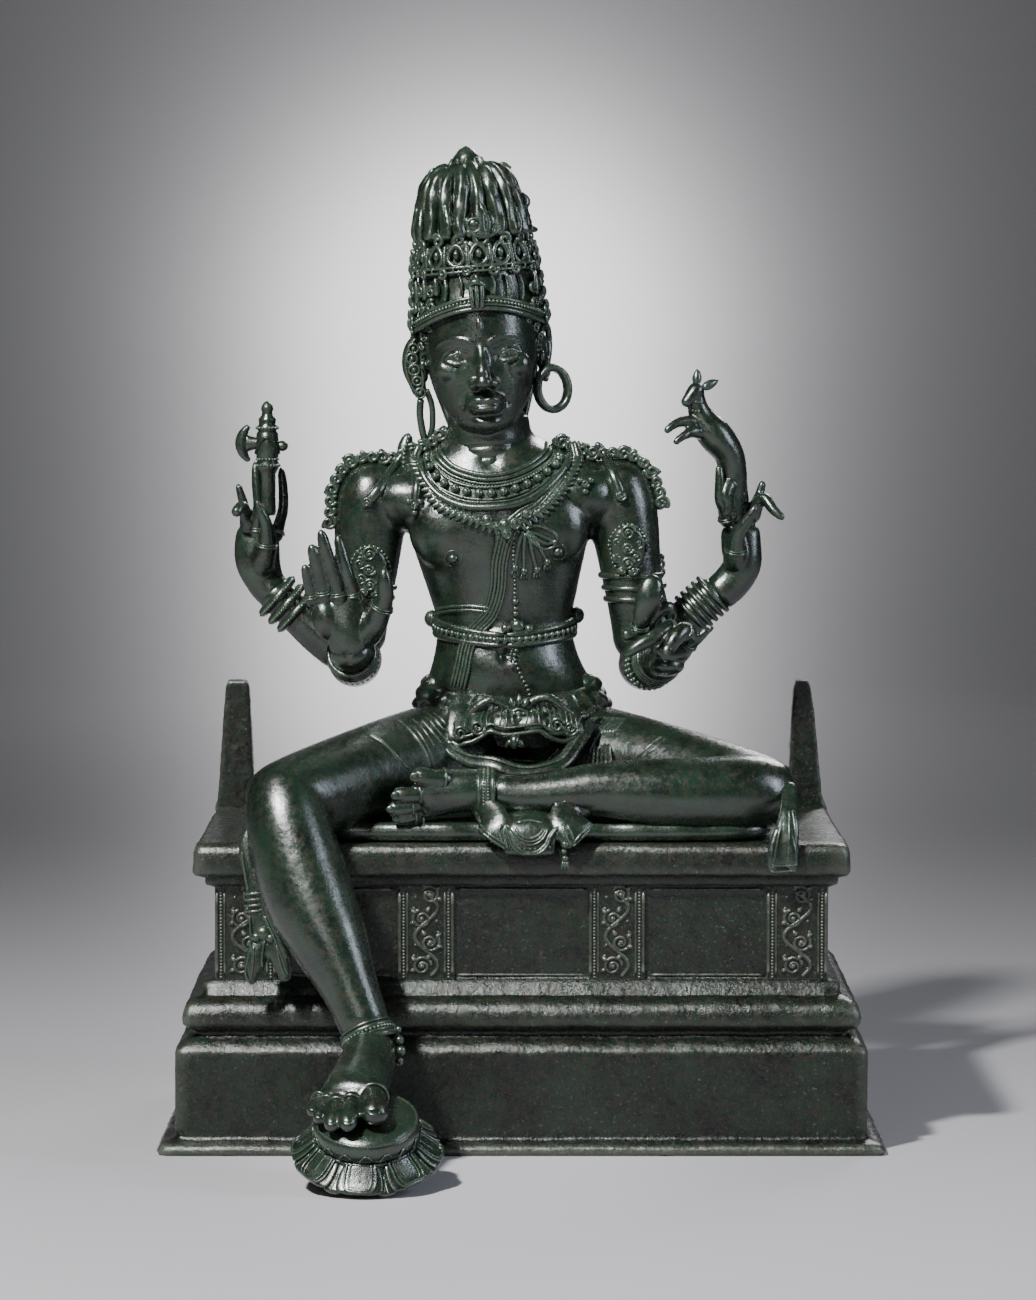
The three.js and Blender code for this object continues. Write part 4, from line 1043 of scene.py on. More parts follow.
for x, z, size in ((-60, 86, 4.2), (-62, 77, 4.6), (-61, 67, 4.6), (-59, 57, 3.8), (-57, 46, 4.4)):
    ring(ear_gold, circle_points((x, -4.5, z), size, 12), 1.2, spacing=1.6)
    blob(ear_gold, (x, -5, z), (size * 0.5, 2, size * 0.5), sides=10, rings=6)
cord(ear_gold, [(-57, -1, 42), (-59, 0, 28), (-58, 2, 12), (-56, 4, 2)], 3.3, sides=10)
cord(ear_gold, [(-52, 2, 50), (-48, 2, 34), (-49, 4, 16), (-54, 6, 2)], 2.8, sides=10)
for x, z, size in ((-57, 0, 6.2), (-50, -4, 5), (-64, -4, 4.6), (-56, -9, 5.4), (-46, -8, 4.2)):
    blob(ear_gold, (x, -1, z), (size, size * 0.8, size), sides=14)
    ring(ear_gold, circle_points((x, -1 - size * 0.7, z), size * 0.55, 10), 0.9, spacing=1.5)
limb(ear_gold, [
    [-70, 0, 12, 3, 3], [-74, -2, 0, 7, 5], [-75, -4, -12, 7, 5], [-77, -4, -22, 3, 3]
], sides=14, rings=20)
beads(ear_gold, [(-70, -5, 8), (-75, -8, -4), (-77, -8, -18)], 2.0, detail=2)
ear_gold.move(HEAD_FRAME)
finished("ear_ornaments", ear_gold)

# %% [markdown]
# ## The crown of matted locks
#
# The hair is piled up in a tall cylinder: a jewelled band with pointed leaves, a belt of looped locks, and
# long locks above that close in a dome with a bud. A spun core carries it all, and every lock, leaf and
# loop is placed by its share of the crown's height and its turn round it.

# %% Crown core and its surface
CROWN_HEIGHT = 136
CROWN = [
    (0, 54), (0.01, 57), (0.06, 57), (0.1, 55), (0.17, 54), (0.26, 52), (0.3, 51), (0.38, 49), (0.44, 47),
    (0.47, 45), (0.62, 42), (0.78, 37), (0.88, 30), (0.93, 20), (0.95, 13), (1, 12), (1.05, 6), (1.07, 0),
]
SIDE_DROP = 16


def dip(x, y, share):
    """How far the diadem comes down over the ears and the nape; it arches over the forehead."""
    around = np.minimum(np.arctan2(np.abs(x), -y), np.pi / 2)
    return SIDE_DROP * np.sin(around) ** 2 * np.clip((0.26 - share) / 0.16, 0, 1)


def on_crown(share, turn, lift=0.0):
    """A point of the crown's core: turn 0 is the front and 90 the figure's left."""
    radius = float(np.interp(share, [s for s, _ in CROWN], [r for _, r in CROWN])) + lift
    x, y = radius * sin(radians(turn)), -radius * cos(radians(turn))
    return [x, y, CROWN_BASE + CROWN_HEIGHT * share - float(dip(x, y, share))]


crown = Wax()
core = [(0, CROWN_BASE - 2)] + [(r - 1.5 if 0.08 < s < 0.9 else r, CROWN_BASE + CROWN_HEIGHT * s) for s, r in CROWN]
spun(crown, core, steps=56)
core_places = crown.places[0]
core_share = (core_places[:, 2] - CROWN_BASE) / CROWN_HEIGHT
core_places[:, 2] -= dip(core_places[:, 0], core_places[:, 1], core_share)

# %% Long locks
LOCK_COUNT = 18
for k in range(LOCK_COUNT):
    turn = 360 * (k + 0.5) / LOCK_COUNT
    sway = 3.0 * sin(2.1 * k)
    top = 0.885 + 0.015 * cos(2.7 * k)
    path = [
        on_crown(0.46, turn, 2), on_crown(0.56, turn + sway, 2.8), on_crown(0.68, turn, 2.8),
        on_crown(0.8, turn - sway * 0.5, 2.5), on_crown(top, turn, 1.5), on_crown(top + 0.035, turn, -4)
    ]
    thick = 6.6 if k % 2 else 5.8

    def matted(along, angle, k=k):
        return 1 + 0.07 * np.cos(5 * angle + 2 * np.sin(9 * along + k)) + 0.05 * np.cos(26 * along + 2 * k)

    cord(crown, path, thick, sides=20, spacing=2.5, shape=matted, cap=0.08)
for k in range(9):
    turn = 40 * k + 14
    path = [
        on_crown(0.47, turn, 5), on_crown(0.55, turn + 3, 7), on_crown(0.64, turn, 6), on_crown(0.7, turn - 4, 4)
    ]
    rope(crown, path, 3.4, pitch=11)

# %% Bud on top, and the loops and bands
bud = [
    (0, 118), (12.5, 119), (14.5, 121.5), (12.5, 124), (13.8, 127), (12.5, 131), (9.5, 136.5), (6, 141),
    (3.4, 144.5), (0, 146)
]
spun(crown, [(r, CROWN_BASE + z - 1.2) for r, z in bud])
for k in range(10):
    leaf_turn = 36 * k
    limb(crown, [
        [*on_crown(0.93, leaf_turn, -2), 3.4, 2], [*on_crown(0.965, leaf_turn, 2.2), 3.4, 1.6],
        [*on_crown(0.995, leaf_turn, 1.5), 1.2, 1]
    ], facing=direction_at(leaf_turn, 0.3), sides=8, rings=10)
LOOPS = 16
for k in range(LOOPS):
    turn = 360 * k / LOOPS + 5
    lift = 2.5
    width = 360 / LOOPS * 0.34
    loop_line = [
        on_crown(0.29, turn, lift), on_crown(0.33, turn + width, lift), on_crown(0.39, turn + width * 0.8, lift),
        on_crown(0.425, turn, lift), on_crown(0.39, turn - width * 0.8, lift), on_crown(0.33, turn - width, lift)
    ]
    ring(crown, loop_line, 2.3, sides=10, spacing=2)
    blob(crown, on_crown(0.365, turn, 1), (3.2, 3.2, 4.6), sides=12)
    between = turn + 180 / LOOPS
    rope(
        crown, [on_crown(0.27, between, 2), on_crown(0.34, between, 3.4), on_crown(0.43, between, 3)], 2.6, sides=10
    )
    ring(crown, circle_points(on_crown(0.27, turn, 3), 2.6, 10), 1.1, spacing=1.5)
SCROLLS = 15
for k in range(SCROLLS):
    turn = 360 * k / SCROLLS - 14
    out = direction_at(turn, 0.1)
    curl(crown, on_crown(
        0.455 + 0.012 * sin(2.3 * k), turn, 3.4
    ), 7.0 + 1.2 * sin(1.7 * k), 2.5, facing=out, hand=1 if k % 2 else -1, start=1.1 * k)
    curl(
        crown, on_crown(0.255, turn + 7, 3.4), 5.0, 1.8, facing=out, turns=1.4, hand=-1 if k % 2 else 1,
        start=0.7 * k
    )
    leaf(crown, on_crown(0.47, turn + 12, 3), on_crown(0.54, turn + 10 + 3 * sin(k), 5.5), out, 3.4, 2.6)
for share, lift, radius in ((0.285, 3.2, 1.5), (0.255, 3.0, 1.3)):
    ring(crown, [on_crown(share, t, lift) for t in range(0, 360, 12)], radius)

# %% Band above the brow
for k in range(24):
    turn = 15 * k - 180
    if -34 < turn < 50:
        path = [on_crown(0.1, turn, 1.5), on_crown(0.17, turn + 2, 2.2), on_crown(0.235, turn, 1.2)]
        cord(crown, path, 1.1 if k % 2 else 1.8)
        continue
    out = direction_at(turn)
    for share, size in ((0.12, 5.6), (0.185, 5.0)):
        curl(crown, on_crown(
            share + 0.012 * sin(1.9 * k), turn, 3
        ), size, 1.8, facing=out, hand=1 if k % 2 else -1, start=0.8 * k)
    leaf(crown, on_crown(0.14, turn + 7, 2), on_crown(0.24, turn + 7, 4.5), out, 3.2, 2.4)
for share, lift, radius in ((0.082, 1.0, 2.1), (0.04, 1.6, 1.5), (0.012, 1.6, 2.1)):
    ring(crown, [on_crown(share, t, lift) for t in range(0, 360, 10)], radius, sides=8)
beads(crown, [on_crown(0.06, t, 2.4) for t in range(0, 360, 10)], 1.7, closed=True, detail=2)
for side in (-1, 1):
    for x, y, z, size in ((50, -20, 96, 4.6), (53, -11, 88, 3.8), (44, -31, 103, 3.6)):
        curl(crown, (side * x, y, z), size, 1.5, facing=(side * 0.75, -0.66, 0), hand=side)
for x in (-4.6, 0, 4.6):
    cord(crown, [
        [x * 0.8, -58.5, CROWN_BASE + 1], [x, -61.5, CROWN_BASE + 9], [x * 1.1, -59, CROWN_BASE + 23]
    ], 2.1, sides=10, spacing=1.6)
limb(crown, [
    [-9, -58, CROWN_BASE + 20, 2], [0, -61, CROWN_BASE + 25, 3], [9, -58, CROWN_BASE + 20, 2]
], sides=12, rings=16)

# %% Side emblems of the crown
medal = Vector(on_crown(0.548, 3, 5))
blob(crown, medal, (6, 3.6, 6.4), rings=12)
ring(crown, circle_points(medal + FRONT * 2.4, 6, 18), 1.2, sides=8, spacing=2)
for x in (-2.1, 2.1):
    blob(crown, medal + Vector((x, -3.4, 1.2)), (1.3, 1.1, 1.5), sides=10)
cup_turns = [radians(-115 + 230 * k / 12) for k in range(13)]
cup = [on_crown(0.565 - 0.095 * cos(a), 13 + 17.5 * sin(a), 5.5) for a in cup_turns]
cord(crown, cup, 2.0, sides=10)
blob(crown, on_crown(0.56, 15, 1.5), (10, 4.5, 11), sides=24, rings=14)
for share, turn in (
    (0.9, -88), (0.89, 88), (0.66, 80), (0.5, 84), (0.42, 84), (0.24, -84), (0.3, 86), (0.2, 84), (0.34, -88)
):
    place = on_crown(share, turn, 3.5)
    out = Vector((place[0], place[1], 0)).normalized()
    hoop(crown, place, out, 4.6, 1.7)
    blob(crown, Vector(place) + out * 0.8, (2.8, 2.8, 2.8), sides=12)
crescent = [on_crown(0.47, -84, 4), on_crown(0.53, -86, 7.5), on_crown(0.62, -86, 7), on_crown(0.7, -84, 6.5)]
cord(crown, crescent, 3.2, sides=12, cap=0.2)
limb(crown, [
    [*on_crown(0.64, 84, 3), 4, 4], [*on_crown(0.68, 88, 7), 6.4, 5], [*on_crown(0.735, 86, 4), 5, 4]
], rings=16, cap=0.25)
for share, turn, size in ((0.9, -89, 6.5), (0.89, 89, 6.5)):
    curl(crown, Vector(on_crown(share, turn, 3)) + FRONT * 3, size, 2.4, turns=1.4, hand=-1 if turn < 0 else 1)
for share in (0.32, 0.37, 0.42):
    for turn in (-88, 88):
        leaf(crown, on_crown(share, turn, 0), on_crown(share + 0.06, turn, 8.5), FRONT, 4, 3)
limb(crown, [
    [*on_crown(0.49, 76, 2), 4, 4], [*on_crown(0.5, 82, 8), 6, 4], [*on_crown(0.49, 84, 14), 1.5, 1.5]
], facing=UP, sides=12, rings=14)
for side in (-1, 1):
    for k in range(6):
        place = on_crown(0.02 + 0.06 * k, side * 78, 2.5)
        curl(crown, (place[0] + side * 1.5, *place[1:]), 5.2, 1.7, facing=(side, 0, 0), hand=side)
        limb(crown, [
            [place[0], place[1] + 6, place[2] - 2, 3, 3], [place[0] + side * 2, place[1] + 4, place[2] + 5, 4, 3],
            [place[0] + side * 4, place[1], place[2] + 10, 1.2, 1.2]
        ], sides=8, rings=10)
crown.move(HEAD_FRAME)
finished("crown", crown)

# %% [markdown]
# ## Jewellery of the chest
#
# Each necklace is a closed thread round the neck. Its front follows the chest, found by rays, and its back is
# drawn to the nearest skin behind the shoulders. Bosses, leaves and beads are set on it one by one.

# %% Laying threads on the skin
def laid(points, lift, tree=body_skin):
    """The points moved to the nearest skin and lifted off it."""
    found = [tree.find_nearest(Vector(p)) for p in points]
    return [list(place + normal * lift) for place, normal, _, _ in found]


def chest_line(points, lift):
    """The points of x and z laid on the bare chest."""
    return [on_front(x, z, lift) for x, z in points]


def beside(points, gap):
    """A flat line of x and z moved sideways by a gap."""
    path = np.array(points, float)
    along = unit(np.gradient(path, axis=0))
    return (path + np.column_stack([along[:, 1], -along[:, 0]]) * gap).tolist()


def necklace(front_line, back_line, lift):
    """A closed line: its front lies on the chest and its back on the nearest skin."""
    return chest_line(front_line, lift) + laid(back_line, lift, skin)


chest = Wax()


def eyelet(x, z, reach, lift, thick, last=5.6, count=9, spacing=1.5):
    """A small ring on the chest round a point of x and z."""
    turns = np.linspace(0, last, count)
    circle = [(x + reach * cos(t), z + reach * sin(t)) for t in turns]
    ring(chest, chest_line(circle, lift), thick, spacing=spacing)


# %% Necklaces
COLLAR = [(-74, 593), (-63, 580), (-45, 573), (-28, 571), (-8, 574), (12, 583), (25, 595)]
COLLAR_BACK = [(14, 40, 606), (-28, 54, 606), (-68, 40, 606)]
BOSSES = [(-82, 587), (-72, 571), (-54, 562), (-32, 559), (-10, 562), (12, 571), (32, 587)]
BOSSES_BACK = [(24, 44, 602), (-28, 60, 598), (-76, 44, 600)]
BAND = [(-88, 582), (-76, 561), (-54, 549), (-28, 547), (-1, 551), (23, 565), (40, 586)]
BAND_BACK = [(32, 44, 600), (-28, 62, 592), (-82, 44, 598)]
GARLAND = [(-91, 584), (-85, 571), (-71, 549), (-45, 538), (-14, 529), (12, 541), (34, 562), (47, 587)]
GARLAND_BACK = [(40, 44, 598), (-28, 62, 586), (-88, 44, 594)]
ring(chest, necklace(beside(COLLAR, -4), COLLAR_BACK, 1.6), 2.3, sides=10)
ring(chest, necklace(COLLAR, COLLAR_BACK, 1.8), 2.0, sides=10)
ring(chest, necklace(beside(COLLAR, 3.6), COLLAR_BACK, 1.8), 1.2)
beads(chest, necklace(beside(COLLAR, 6.2), COLLAR_BACK, 2.0), 1.35, closed=True)
boss_line = necklace(BOSSES, BOSSES_BACK, 2.4)
BOSS, BOSS_GAP = 4.1, 2.7
beads(chest, boss_line, BOSS, gap=BOSS_GAP, closed=True, detail=2)
for gap in (-5.2, 5.2):
    ring(chest, necklace(beside(BOSSES, gap), BOSSES_BACK, 1.4), 1.3)
for point in even(boss_line, BOSS * BOSS_GAP, closed=True):
    blob(chest, point, (2.0, 7.0, 2.0), sides=8, rings=6)
ring(chest, necklace(BAND, BAND_BACK, 2.2), 3.6, sides=12)
ring(chest, necklace(beside(BAND, -4.6), BAND_BACK, 1.6), 1.1)

# %% Garland of leaves
garland_line = even(necklace(GARLAND, GARLAND_BACK, 1.5), 5.6, closed=True)
ring(chest, garland_line, 3.4, sides=8)
middle = garland_line.mean(axis=0)
for k, point in enumerate(garland_line):
    if point[1] > 30 and k % 2:
        continue
    outward = Vector(point - middle)
    outward.y *= 0.2
    outward.normalize()
    place, normal, _, _ = skin.find_nearest(Vector(point))
    leaf(
        chest, Vector(point) - outward * 5.5, Vector(point) + outward * 8 + normal * 0.5, normal, 3.6, 2.6, sides=8
    )
    blob(chest, Vector(point) + normal * 2.2 - outward * 1.5, (2.3, 2.3, 2.3), sides=8, rings=6)
for x, z, size in ((-14, 531, 6.5), (-30, 536, 4.6), (3, 538, 4.6)):
    blob(chest, on_front(x, z, 2.5), (size, 3.4, size), sides=14)
    eyelet(x, z, size * 0.8, 4.6, 0.9)
for x in (-19, -14, -9):
    leaf(chest, on_front(x, 527, 2.5), on_front(x * 1.15, 515, 1.5), FRONT, 2.8)

# %% Sacred thread with its knot, bow and tassels
THREAD = [
    (53, 602), (51, 594), (34, 571), (16, 549), (-1, 538), (-12, 526), (-19, 501), (-21, 475), (-28, 453),
    (-45, 431), (-52, 404), (-56, 386)
]
for k, offset in enumerate((-6.0, -3.2, -0.4, 2.6, 5.6)):
    line = chest_line(beside(THREAD, offset), 2.4 if k in (1, 2, 3) else 1.8)
    start = laid([(60 + offset * 0.6, 44, 596), (57 + offset * 0.6, 26, 610)], 1.6, skin)
    if k % 2:
        rope(chest, start + line, 1.9, pitch=4.6, sides=8, spacing=1.5)
    else:
        cord(chest, start + line, 1.6, spacing=2.5)
BRANCH = [(-23, 457), (-34, 458), (-45, 459), (-60, 458), (-74, 455)]
for offset in (-2.4, 1.2):
    cord(chest, chest_line(beside(BRANCH, offset), 1.8), 1.7, spacing=2.5)
for x, z, size in ((-6, 533, 6.4), (4, 541, 5.2), (-13, 524, 5.2)):
    blob(chest, on_front(x, z, 4.6), (size, 4, size), turn=(0, -35, 0), sides=14)
    eyelet(x, z, size * 0.6, 7.4, 1.0)
for points in (
    [(4, 528), (14, 531), (27, 526), (31, 519), (22, 516), (10, 522)],
    [(5, 525), (14, 524), (25, 519), (29, 514), (20, 511), (9, 517)]
):
    ring(chest, chest_line(points, 2.2), 1.7, sides=8, spacing=2)
for points in (
    [(1, 528), (-3, 512), (-6, 494)], [(3, 526), (2, 510), (2, 491)], [(6, 525), (9, 508), (13, 492)],
    [(8, 524), (17, 510), (22, 499)]
):
    cord(chest, chest_line(points, 2.0), 1.9)
    x, z = points[-1]
    blob(chest, on_front(x, z, 2.4), (3.4, 3, 4.2), sides=12)
    for step in (-3, 0, 3):
        leaf(chest, on_front(x + step * 0.6, z - 2, 2.4), on_front(x + step, z - 9, 1.6), FRONT, 1.5, 1.2, sides=6)
beads(chest, chest_line([(-7, 520), (-7, 500), (-6, 484), (-6, 468)], 1.6), 1.75, detail=2)
for z, size in ((464, 3.6), (458, 2.6), (453, 3.2), (447, 2.4)):
    blob(chest, on_front(-5.5, z, 2.0), (size, size * 0.9, size), sides=12)
beads(chest, chest_line([(-1, 428), (-5, 421), (-6, 413), (0, 398), (6, 386), (8, 374)], 1.6), 2.0, detail=2)
beads(chest, chest_line([(-5, 427), (-9, 420), (-10, 413)], 1.2), 1.3)
for x, z in ((-60, 502), (32, 508)):
    blob(chest, on_front(x, z, 0.8), (4.8, 4, 4.8), sides=16, rings=10)
    eyelet(x, z, 7.2, 0.3, 0.8, 5.8, 13, 2)

# %% Belly band
for height, droop, radius in ((447, 12, 3.2), (434, 8, 3.2)):
    line = torso_band(height, 1.6, droop)
    rope(chest, line + line[:1], radius, spacing=2.2)
middle_line = even(torso_band(440.5, 1.0, 10), 6.2, closed=True)
ring(chest, middle_line, 2.6, sides=8)
for point in middle_line:
    away = Vector((point[0] + 15, point[1] - 12, 0)).normalized()
    leaf(chest, Vector(point) + away * 2 + UP * 3, Vector(point) + away * 3 - UP * 4.5, away, 2.6, 1.6, sides=8)
for x, z, size in ((-4, 441, 6.2), (-14, 439, 4.4), (6, 439, 4.4)):
    blob(chest, on_front(x, z, 3), (size, 4, size), sides=14)
for side, height in ((1, 449), (-1, 446)):
    edge_point = around_torso(92 * side, height, 4)
    blob(chest, edge_point, (7, 6, 7.5), sides=16, rings=10)
    hoop(chest, edge_point, (1, 0, 0), 6.4, 1.6)
finished("chest_jewellery", chest)

# %% [markdown]
# ## Locks and braids on the shoulders
#
# A braid runs over each shoulder and down the outside of the arm, with spiral curls that break the outline.
# Smooth locks hang in front of it and end in a coil.

# %% Shoulder hair
hair = Wax()
BRAIDS = [
    [(-62, 12, 618), (-99, 9, 606), (-126, 8, 596), (-150, 8, 584), (-166, 8, 560), (-169, 8, 532)],
    [(34, 12, 622), (65, 9, 612), (92, 8, 604), (112, 8, 590), (124, 8, 572), (128, 8, 550)],
]
for side, braid in zip((-1, 1), BRAIDS):
    line = laid(even(braid, 8), 3.2)
    rope(hair, line, 5.2, strands=3, pitch=16, sides=18, spacing=1.8, cap=0.06)
    marks = even(line, 9.5)
    for k in range(1, len(marks)):
        place = Vector(marks[k])
        along = Vector(marks[k] - marks[k - 1]).normalized()
        _, normal, _, _ = body_skin.find_nearest(place)
        out = Vector((normal.x, 0, normal.z)).normalized()
        size = 6.4 if k % 3 == 1 else 5.0
        curl(hair, place + out * 1.6 + FRONT * 4.2, size, 2.1, turns=1.6, hand=side, start=0.9 * k)
        if k % 3 == 1:
            leaf(hair, place - along * 2, place + out * 8.5 + along * 5, FRONT, 4.4, 3.2)
    end = Vector(marks[-1])
    blob(hair, end, (5.5, 5, 6.5), sides=14)
LOCKS = [
    [(-104, 594), (-113, 580), (-125, 563), (-136, 550)], [(-90, 602), (-94, 586), (-92, 566), (-94, 548)],
    [(66, 603), (74, 592), (81, 575), (88, 556)], [(47, 604), (52, 582), (56, 566)],
]
for k, points in enumerate(LOCKS):
    line = [on_front(x, z, 1.5, body_skin) for x, z in points]
    thick = 4.6 if k % 2 == 0 else 3.6
    stations = [[*p, thick * (0.75 + 0.13 * j), thick * 0.8] for j, p in enumerate(line)]
    limb(hair, stations, rings=28, cap=0.1)
    end = Vector(line[-1])
    place, normal, _, _ = body_skin.find_nearest(end)
    blob(hair, end, (thick * 1.15, thick * 0.9, thick * 1.2), sides=16, rings=10)
    curl(hair, end + normal * thick * 0.8, thick * 0.95, 1.2, facing=normal, hand=1 if k < 2 else -1)
    if k % 2:
        for step in (-3, 3):
            cord(hair, [on_front(x + step, z, 1.0, body_skin) for x, z in points], 1.6, spacing=2.5)
        for dx, dz in ((-5, 4), (5, 4), (0, -6)):
            blob(hair, end + Vector((dx, -1, dz)), (3, 2.6, 3), sides=10)
finished("shoulder_hair", hair)

# %% [markdown]
# ## Armlets, bangles and rings
#
# Each arm carries an armlet with a crest of scrolls, beads at the elbow and rings at the wrist. The bangles
# are separate hoops, so light falls between them.

# %% Arm jewellery
arm_gold = Wax()
ARMLETS = ((
    Vector((-134, 0, 490)), Vector((-0.07, -0.06, -1)), Vector((-137, 12, 490)), ((16, 2.6), (25, 2.6))
), (Vector((94, 0, 509)), Vector((0.09, -0.06, -1)), Vector((95, 13, 509)), ((24, 3.0), (35, 2.6), (45, 3.0))),)
PLAQUE = (
    (0, 15, 7.0, 1), (-8.5, 6.5, 6.2, -1), (8.5, 6.5, 6.2, 1), (0, 1.5, 5.4, -1), (-7.5, -6.5, 5.6, 1),
    (7.5, -6.5, 5.6, -1), (0, -12.5, 6.0, 1), (-5, -19, 3.6, -1), (5, -19, 3.6, 1),
)
ARM_REACH = 42  # a ray from inside the arm that runs further has left by the armpit
for centre, axis, core_place, bands in ARMLETS:
    down = axis.normalized()
    for step, thick in bands:
        place = core_place + down * step
        turns = np.linspace(0, 2 * pi, 22)[:-1]
        around = [body_skin.ray_cast(place, Vector((sin(t), -cos(t), 0)), ARM_REACH)[0] for t in turns]
        ring(arm_gold, [p for p in around if p], thick, sides=12)
    plate = [on_front(centre.x + x, centre.z + z, 1.0, body_skin) for x, z in ((0, 21), (0, 8), (0, -6), (0, -21))]
    limb(arm_gold, [[*p, w, 4.6] for p, w in zip(plate, (9, 15, 14, 7))], sides=24, rings=26, cap=0.16)
    for x, z, size, hand in PLAQUE:
        place = Vector(on_front(centre.x + x, centre.z + z, 0, body_skin))
        place.y -= 5.4 - 0.012 * x * x
        curl(arm_gold, place, size, 1.55, turns=1.8, hand=hand, start=0.5 * x)
        blob(arm_gold, place, (1.9, 2.2, 1.9), sides=12)
    border_line = []
    for t in np.linspace(0, 2 * pi, 29)[:-1]:
        wide = 16.5 * sin(t) * (1 if cos(t) > 0 else 0.86)
        border_line.append(on_front(centre.x + wide, centre.z + 22 * cos(t), 1.4, body_skin))
    beads(arm_gold, border_line, 1.9, closed=True, detail=2)
    for step, size in ((8, 3.8), (14, 5.0), (21, 4.4)):
        side = 1 if centre.x > 0 else -1
        out = Vector((side, 0.1, 0)).normalized()
        place = body_skin.ray_cast(core_place + down * step, out, ARM_REACH)[0]
        if place:
            curl(arm_gold, place + out * 0.6, size, 1.8, facing=(side * 0.5, -0.85, 0), hand=side, start=step)
for points, radius in (([(-147, -44, 414), (-148, -58, 417)], 21), ([(112, -38, 408), (114, -48, 410)], 20.5)):
    low, high = (Vector(p) for p in points)
    for share in (0, 1):
        circle = frame_along(low.lerp(high, share), high - low, UP)
        beads(arm_gold, round_axis(circle, radius, 5.97, 20), 2.2, closed=True)
WRISTS = [
    ([-146.5, -60, 416], [-148.5, -76, 422], 20, 3, 2.6), ([116, -50, 411], [121, -66, 416], 19, 3, 2.6),
    ([-199, 51, 446], [-223, 50, 467], 19, 3, 4.0), ([150, 51, 446], [174, 50, 468], 19, 5, 2.2),
]
for start, end, radius, count, thick in WRISTS:
    low, high = Vector(start), Vector(end)
    for k in range(count):
        place = low.lerp(high, (k + 0.5) / count)
        hoop(arm_gold, place, high - low, radius, thick, sides=12)
        if thick > 3.5:
            circle = frame_along(place, high - low, FRONT)
            beads(arm_gold, round_axis(circle, radius + 3.4, 6.05, 26), 1.5, closed=True)
FINGER_RINGS = [
    ((-182.4, -91, 472), (-2, -4, 12), 6.6), ((-172.4, -90.5, 475), (-3, -5, 18), 7.6),
    ((-159.4, -90.5, 474), (-3, -5, 17), 7.8), ((-146.4, -86.5, 473), (-3, -4, 16), 7.6),
    ((-121.4, -96.5, 463), (7, -7, 16), 10.2), ((-227.8, 31, 511), (2, -5, 14), 9.6),
    ((-236.4, 43, 524), (1, -3, 13), 7.2), ((-220, 55.6, 520), (3, 3, 14), 7.4),
    ((183.4, 37.5, 534), (-4, -7, 14), 7.6), ((199.6, 52.6, 535), (1, 4, 14), 7.6),
    ((191.6, 35, 506), (1, -8, 17), 10.0), ((102.5, -101, 447), (2, -8, 12), 8.6),
    ((106, -98, 440), (-12, -6, 6), 7.4), ((127.5, -104.5, 445), (-11, -12, 8), 8.2),
    ((140.5, -110, 443), (-4, -16, 8), 8.2), ((145.5, -92.5, 430.5), (3, -4, 4), 7.0),
]
for place, along, radius in FINGER_RINGS:
    hoop(arm_gold, place, along, radius - 0.4, 1.2)
    hoop(arm_gold, Vector(place) + Vector(along).normalized() * 2.2, along, radius - 0.7, 0.8, sides=6)
finished("arm_jewellery", arm_gold)

# %% [markdown]
# ## Cloth at the hips and over the legs
#
# The short garment is only drawn on the legs by raised folds, so those are threads laid on the skin. The
# rolled belt, the scalloped hem over the lap and the sashes are cloth forms of their own: soft lobes fused
# together, with their borders laid on top.

# %% Soft forms of the cloth
cloth = Wax()
for height, lift, radius, droop in ((389, 1.5, 4.0, 12), (380, 2.5, 4.4, 11), (370, 2.5, 4.6, 8)):
    ring(cloth, torso_band(height, lift, droop), radius, sides=14, spacing=4)
LOBES = [(-54, 344, -76), (-35, 349, -80), (-13, 353, -82), (10, 354, -82), (30, 349, -80), (43, 347, -76)]
for k, (x, z, y) in enumerate(LOBES):
    wide = 11.5 if k % 2 else 13
    limb(cloth, [
        [x * 0.86, -34, 378, wide * 0.8, 5], [x * 0.94, -54, 372, wide, 5], [x, y + 8, z + 12, wide, 4],
        [x, y, z, wide * 0.9, 2.6]
    ], sides=18, rings=20, cap=0.1)
HIP_MIDDLE = -8
for side in (-1, 1):
    for reach, z, y, wide in ((66, 392, 10, 8), (78, 386, 4, 10), (84, 374, -4, 8), (72, 372, -18, 8)):
        limb(cloth, [
            [HIP_MIDDLE + side * (reach - 26), y - 8, z + 3, 5],
            [HIP_MIDDLE + side * (reach - 10), y - 3, z + 2, wide],
            [HIP_MIDDLE + side * reach, y, z - 3, wide * 0.7]
        ], rings=16)
SASH = [
    (-71, -68, 343), (-47, -90, 330), (-24, -102, 327.5), (-2, -105, 321), (16, -104, 321.5), (35, -96, 328),
    (49, -77, 344), (63, -52, 363)
]
SASH_HALVES = (6, 8, 8.5, 8.5, 8.5, 8.5, 7.5, 5.5)
limb(cloth, [[*p, w, 4.2] for p, w in zip(SASH, SASH_HALVES)], facing=(0, -0.7, 0.7), sides=18, rings=50, cap=0.04)
limb(cloth, [
    [-216, -176, 300, 7, 4], [-233, -187, 268, 7.5, 4], [-230, -192, 240, 6.5, 4], [-226, -194, 214, 7.5, 4.4],
    [-219, -196, 190, 13, 5], [-216, -198, 170, 13, 5]
], sides=18, rings=40, cap=0.06)
limb(cloth, [[-222, -198, 186, 8, 4], [-227, -201, 166, 9.5, 4.5], [-230, -202, 148, 3, 2.5]], rings=20, cap=0.1)
limb(cloth, [[-212, -198, 188, 8, 4], [-204, -201, 168, 9, 4.5], [-199, -201, 150, 4, 2.5]], rings=20, cap=0.1)
limb(cloth, [
    [-222, -192, 262, 3, 3], [-219, -198, 226, 3.4, 3], [-207, -203, 190, 4, 3], [-198, -204, 168, 4.5, 3]
], sides=12)
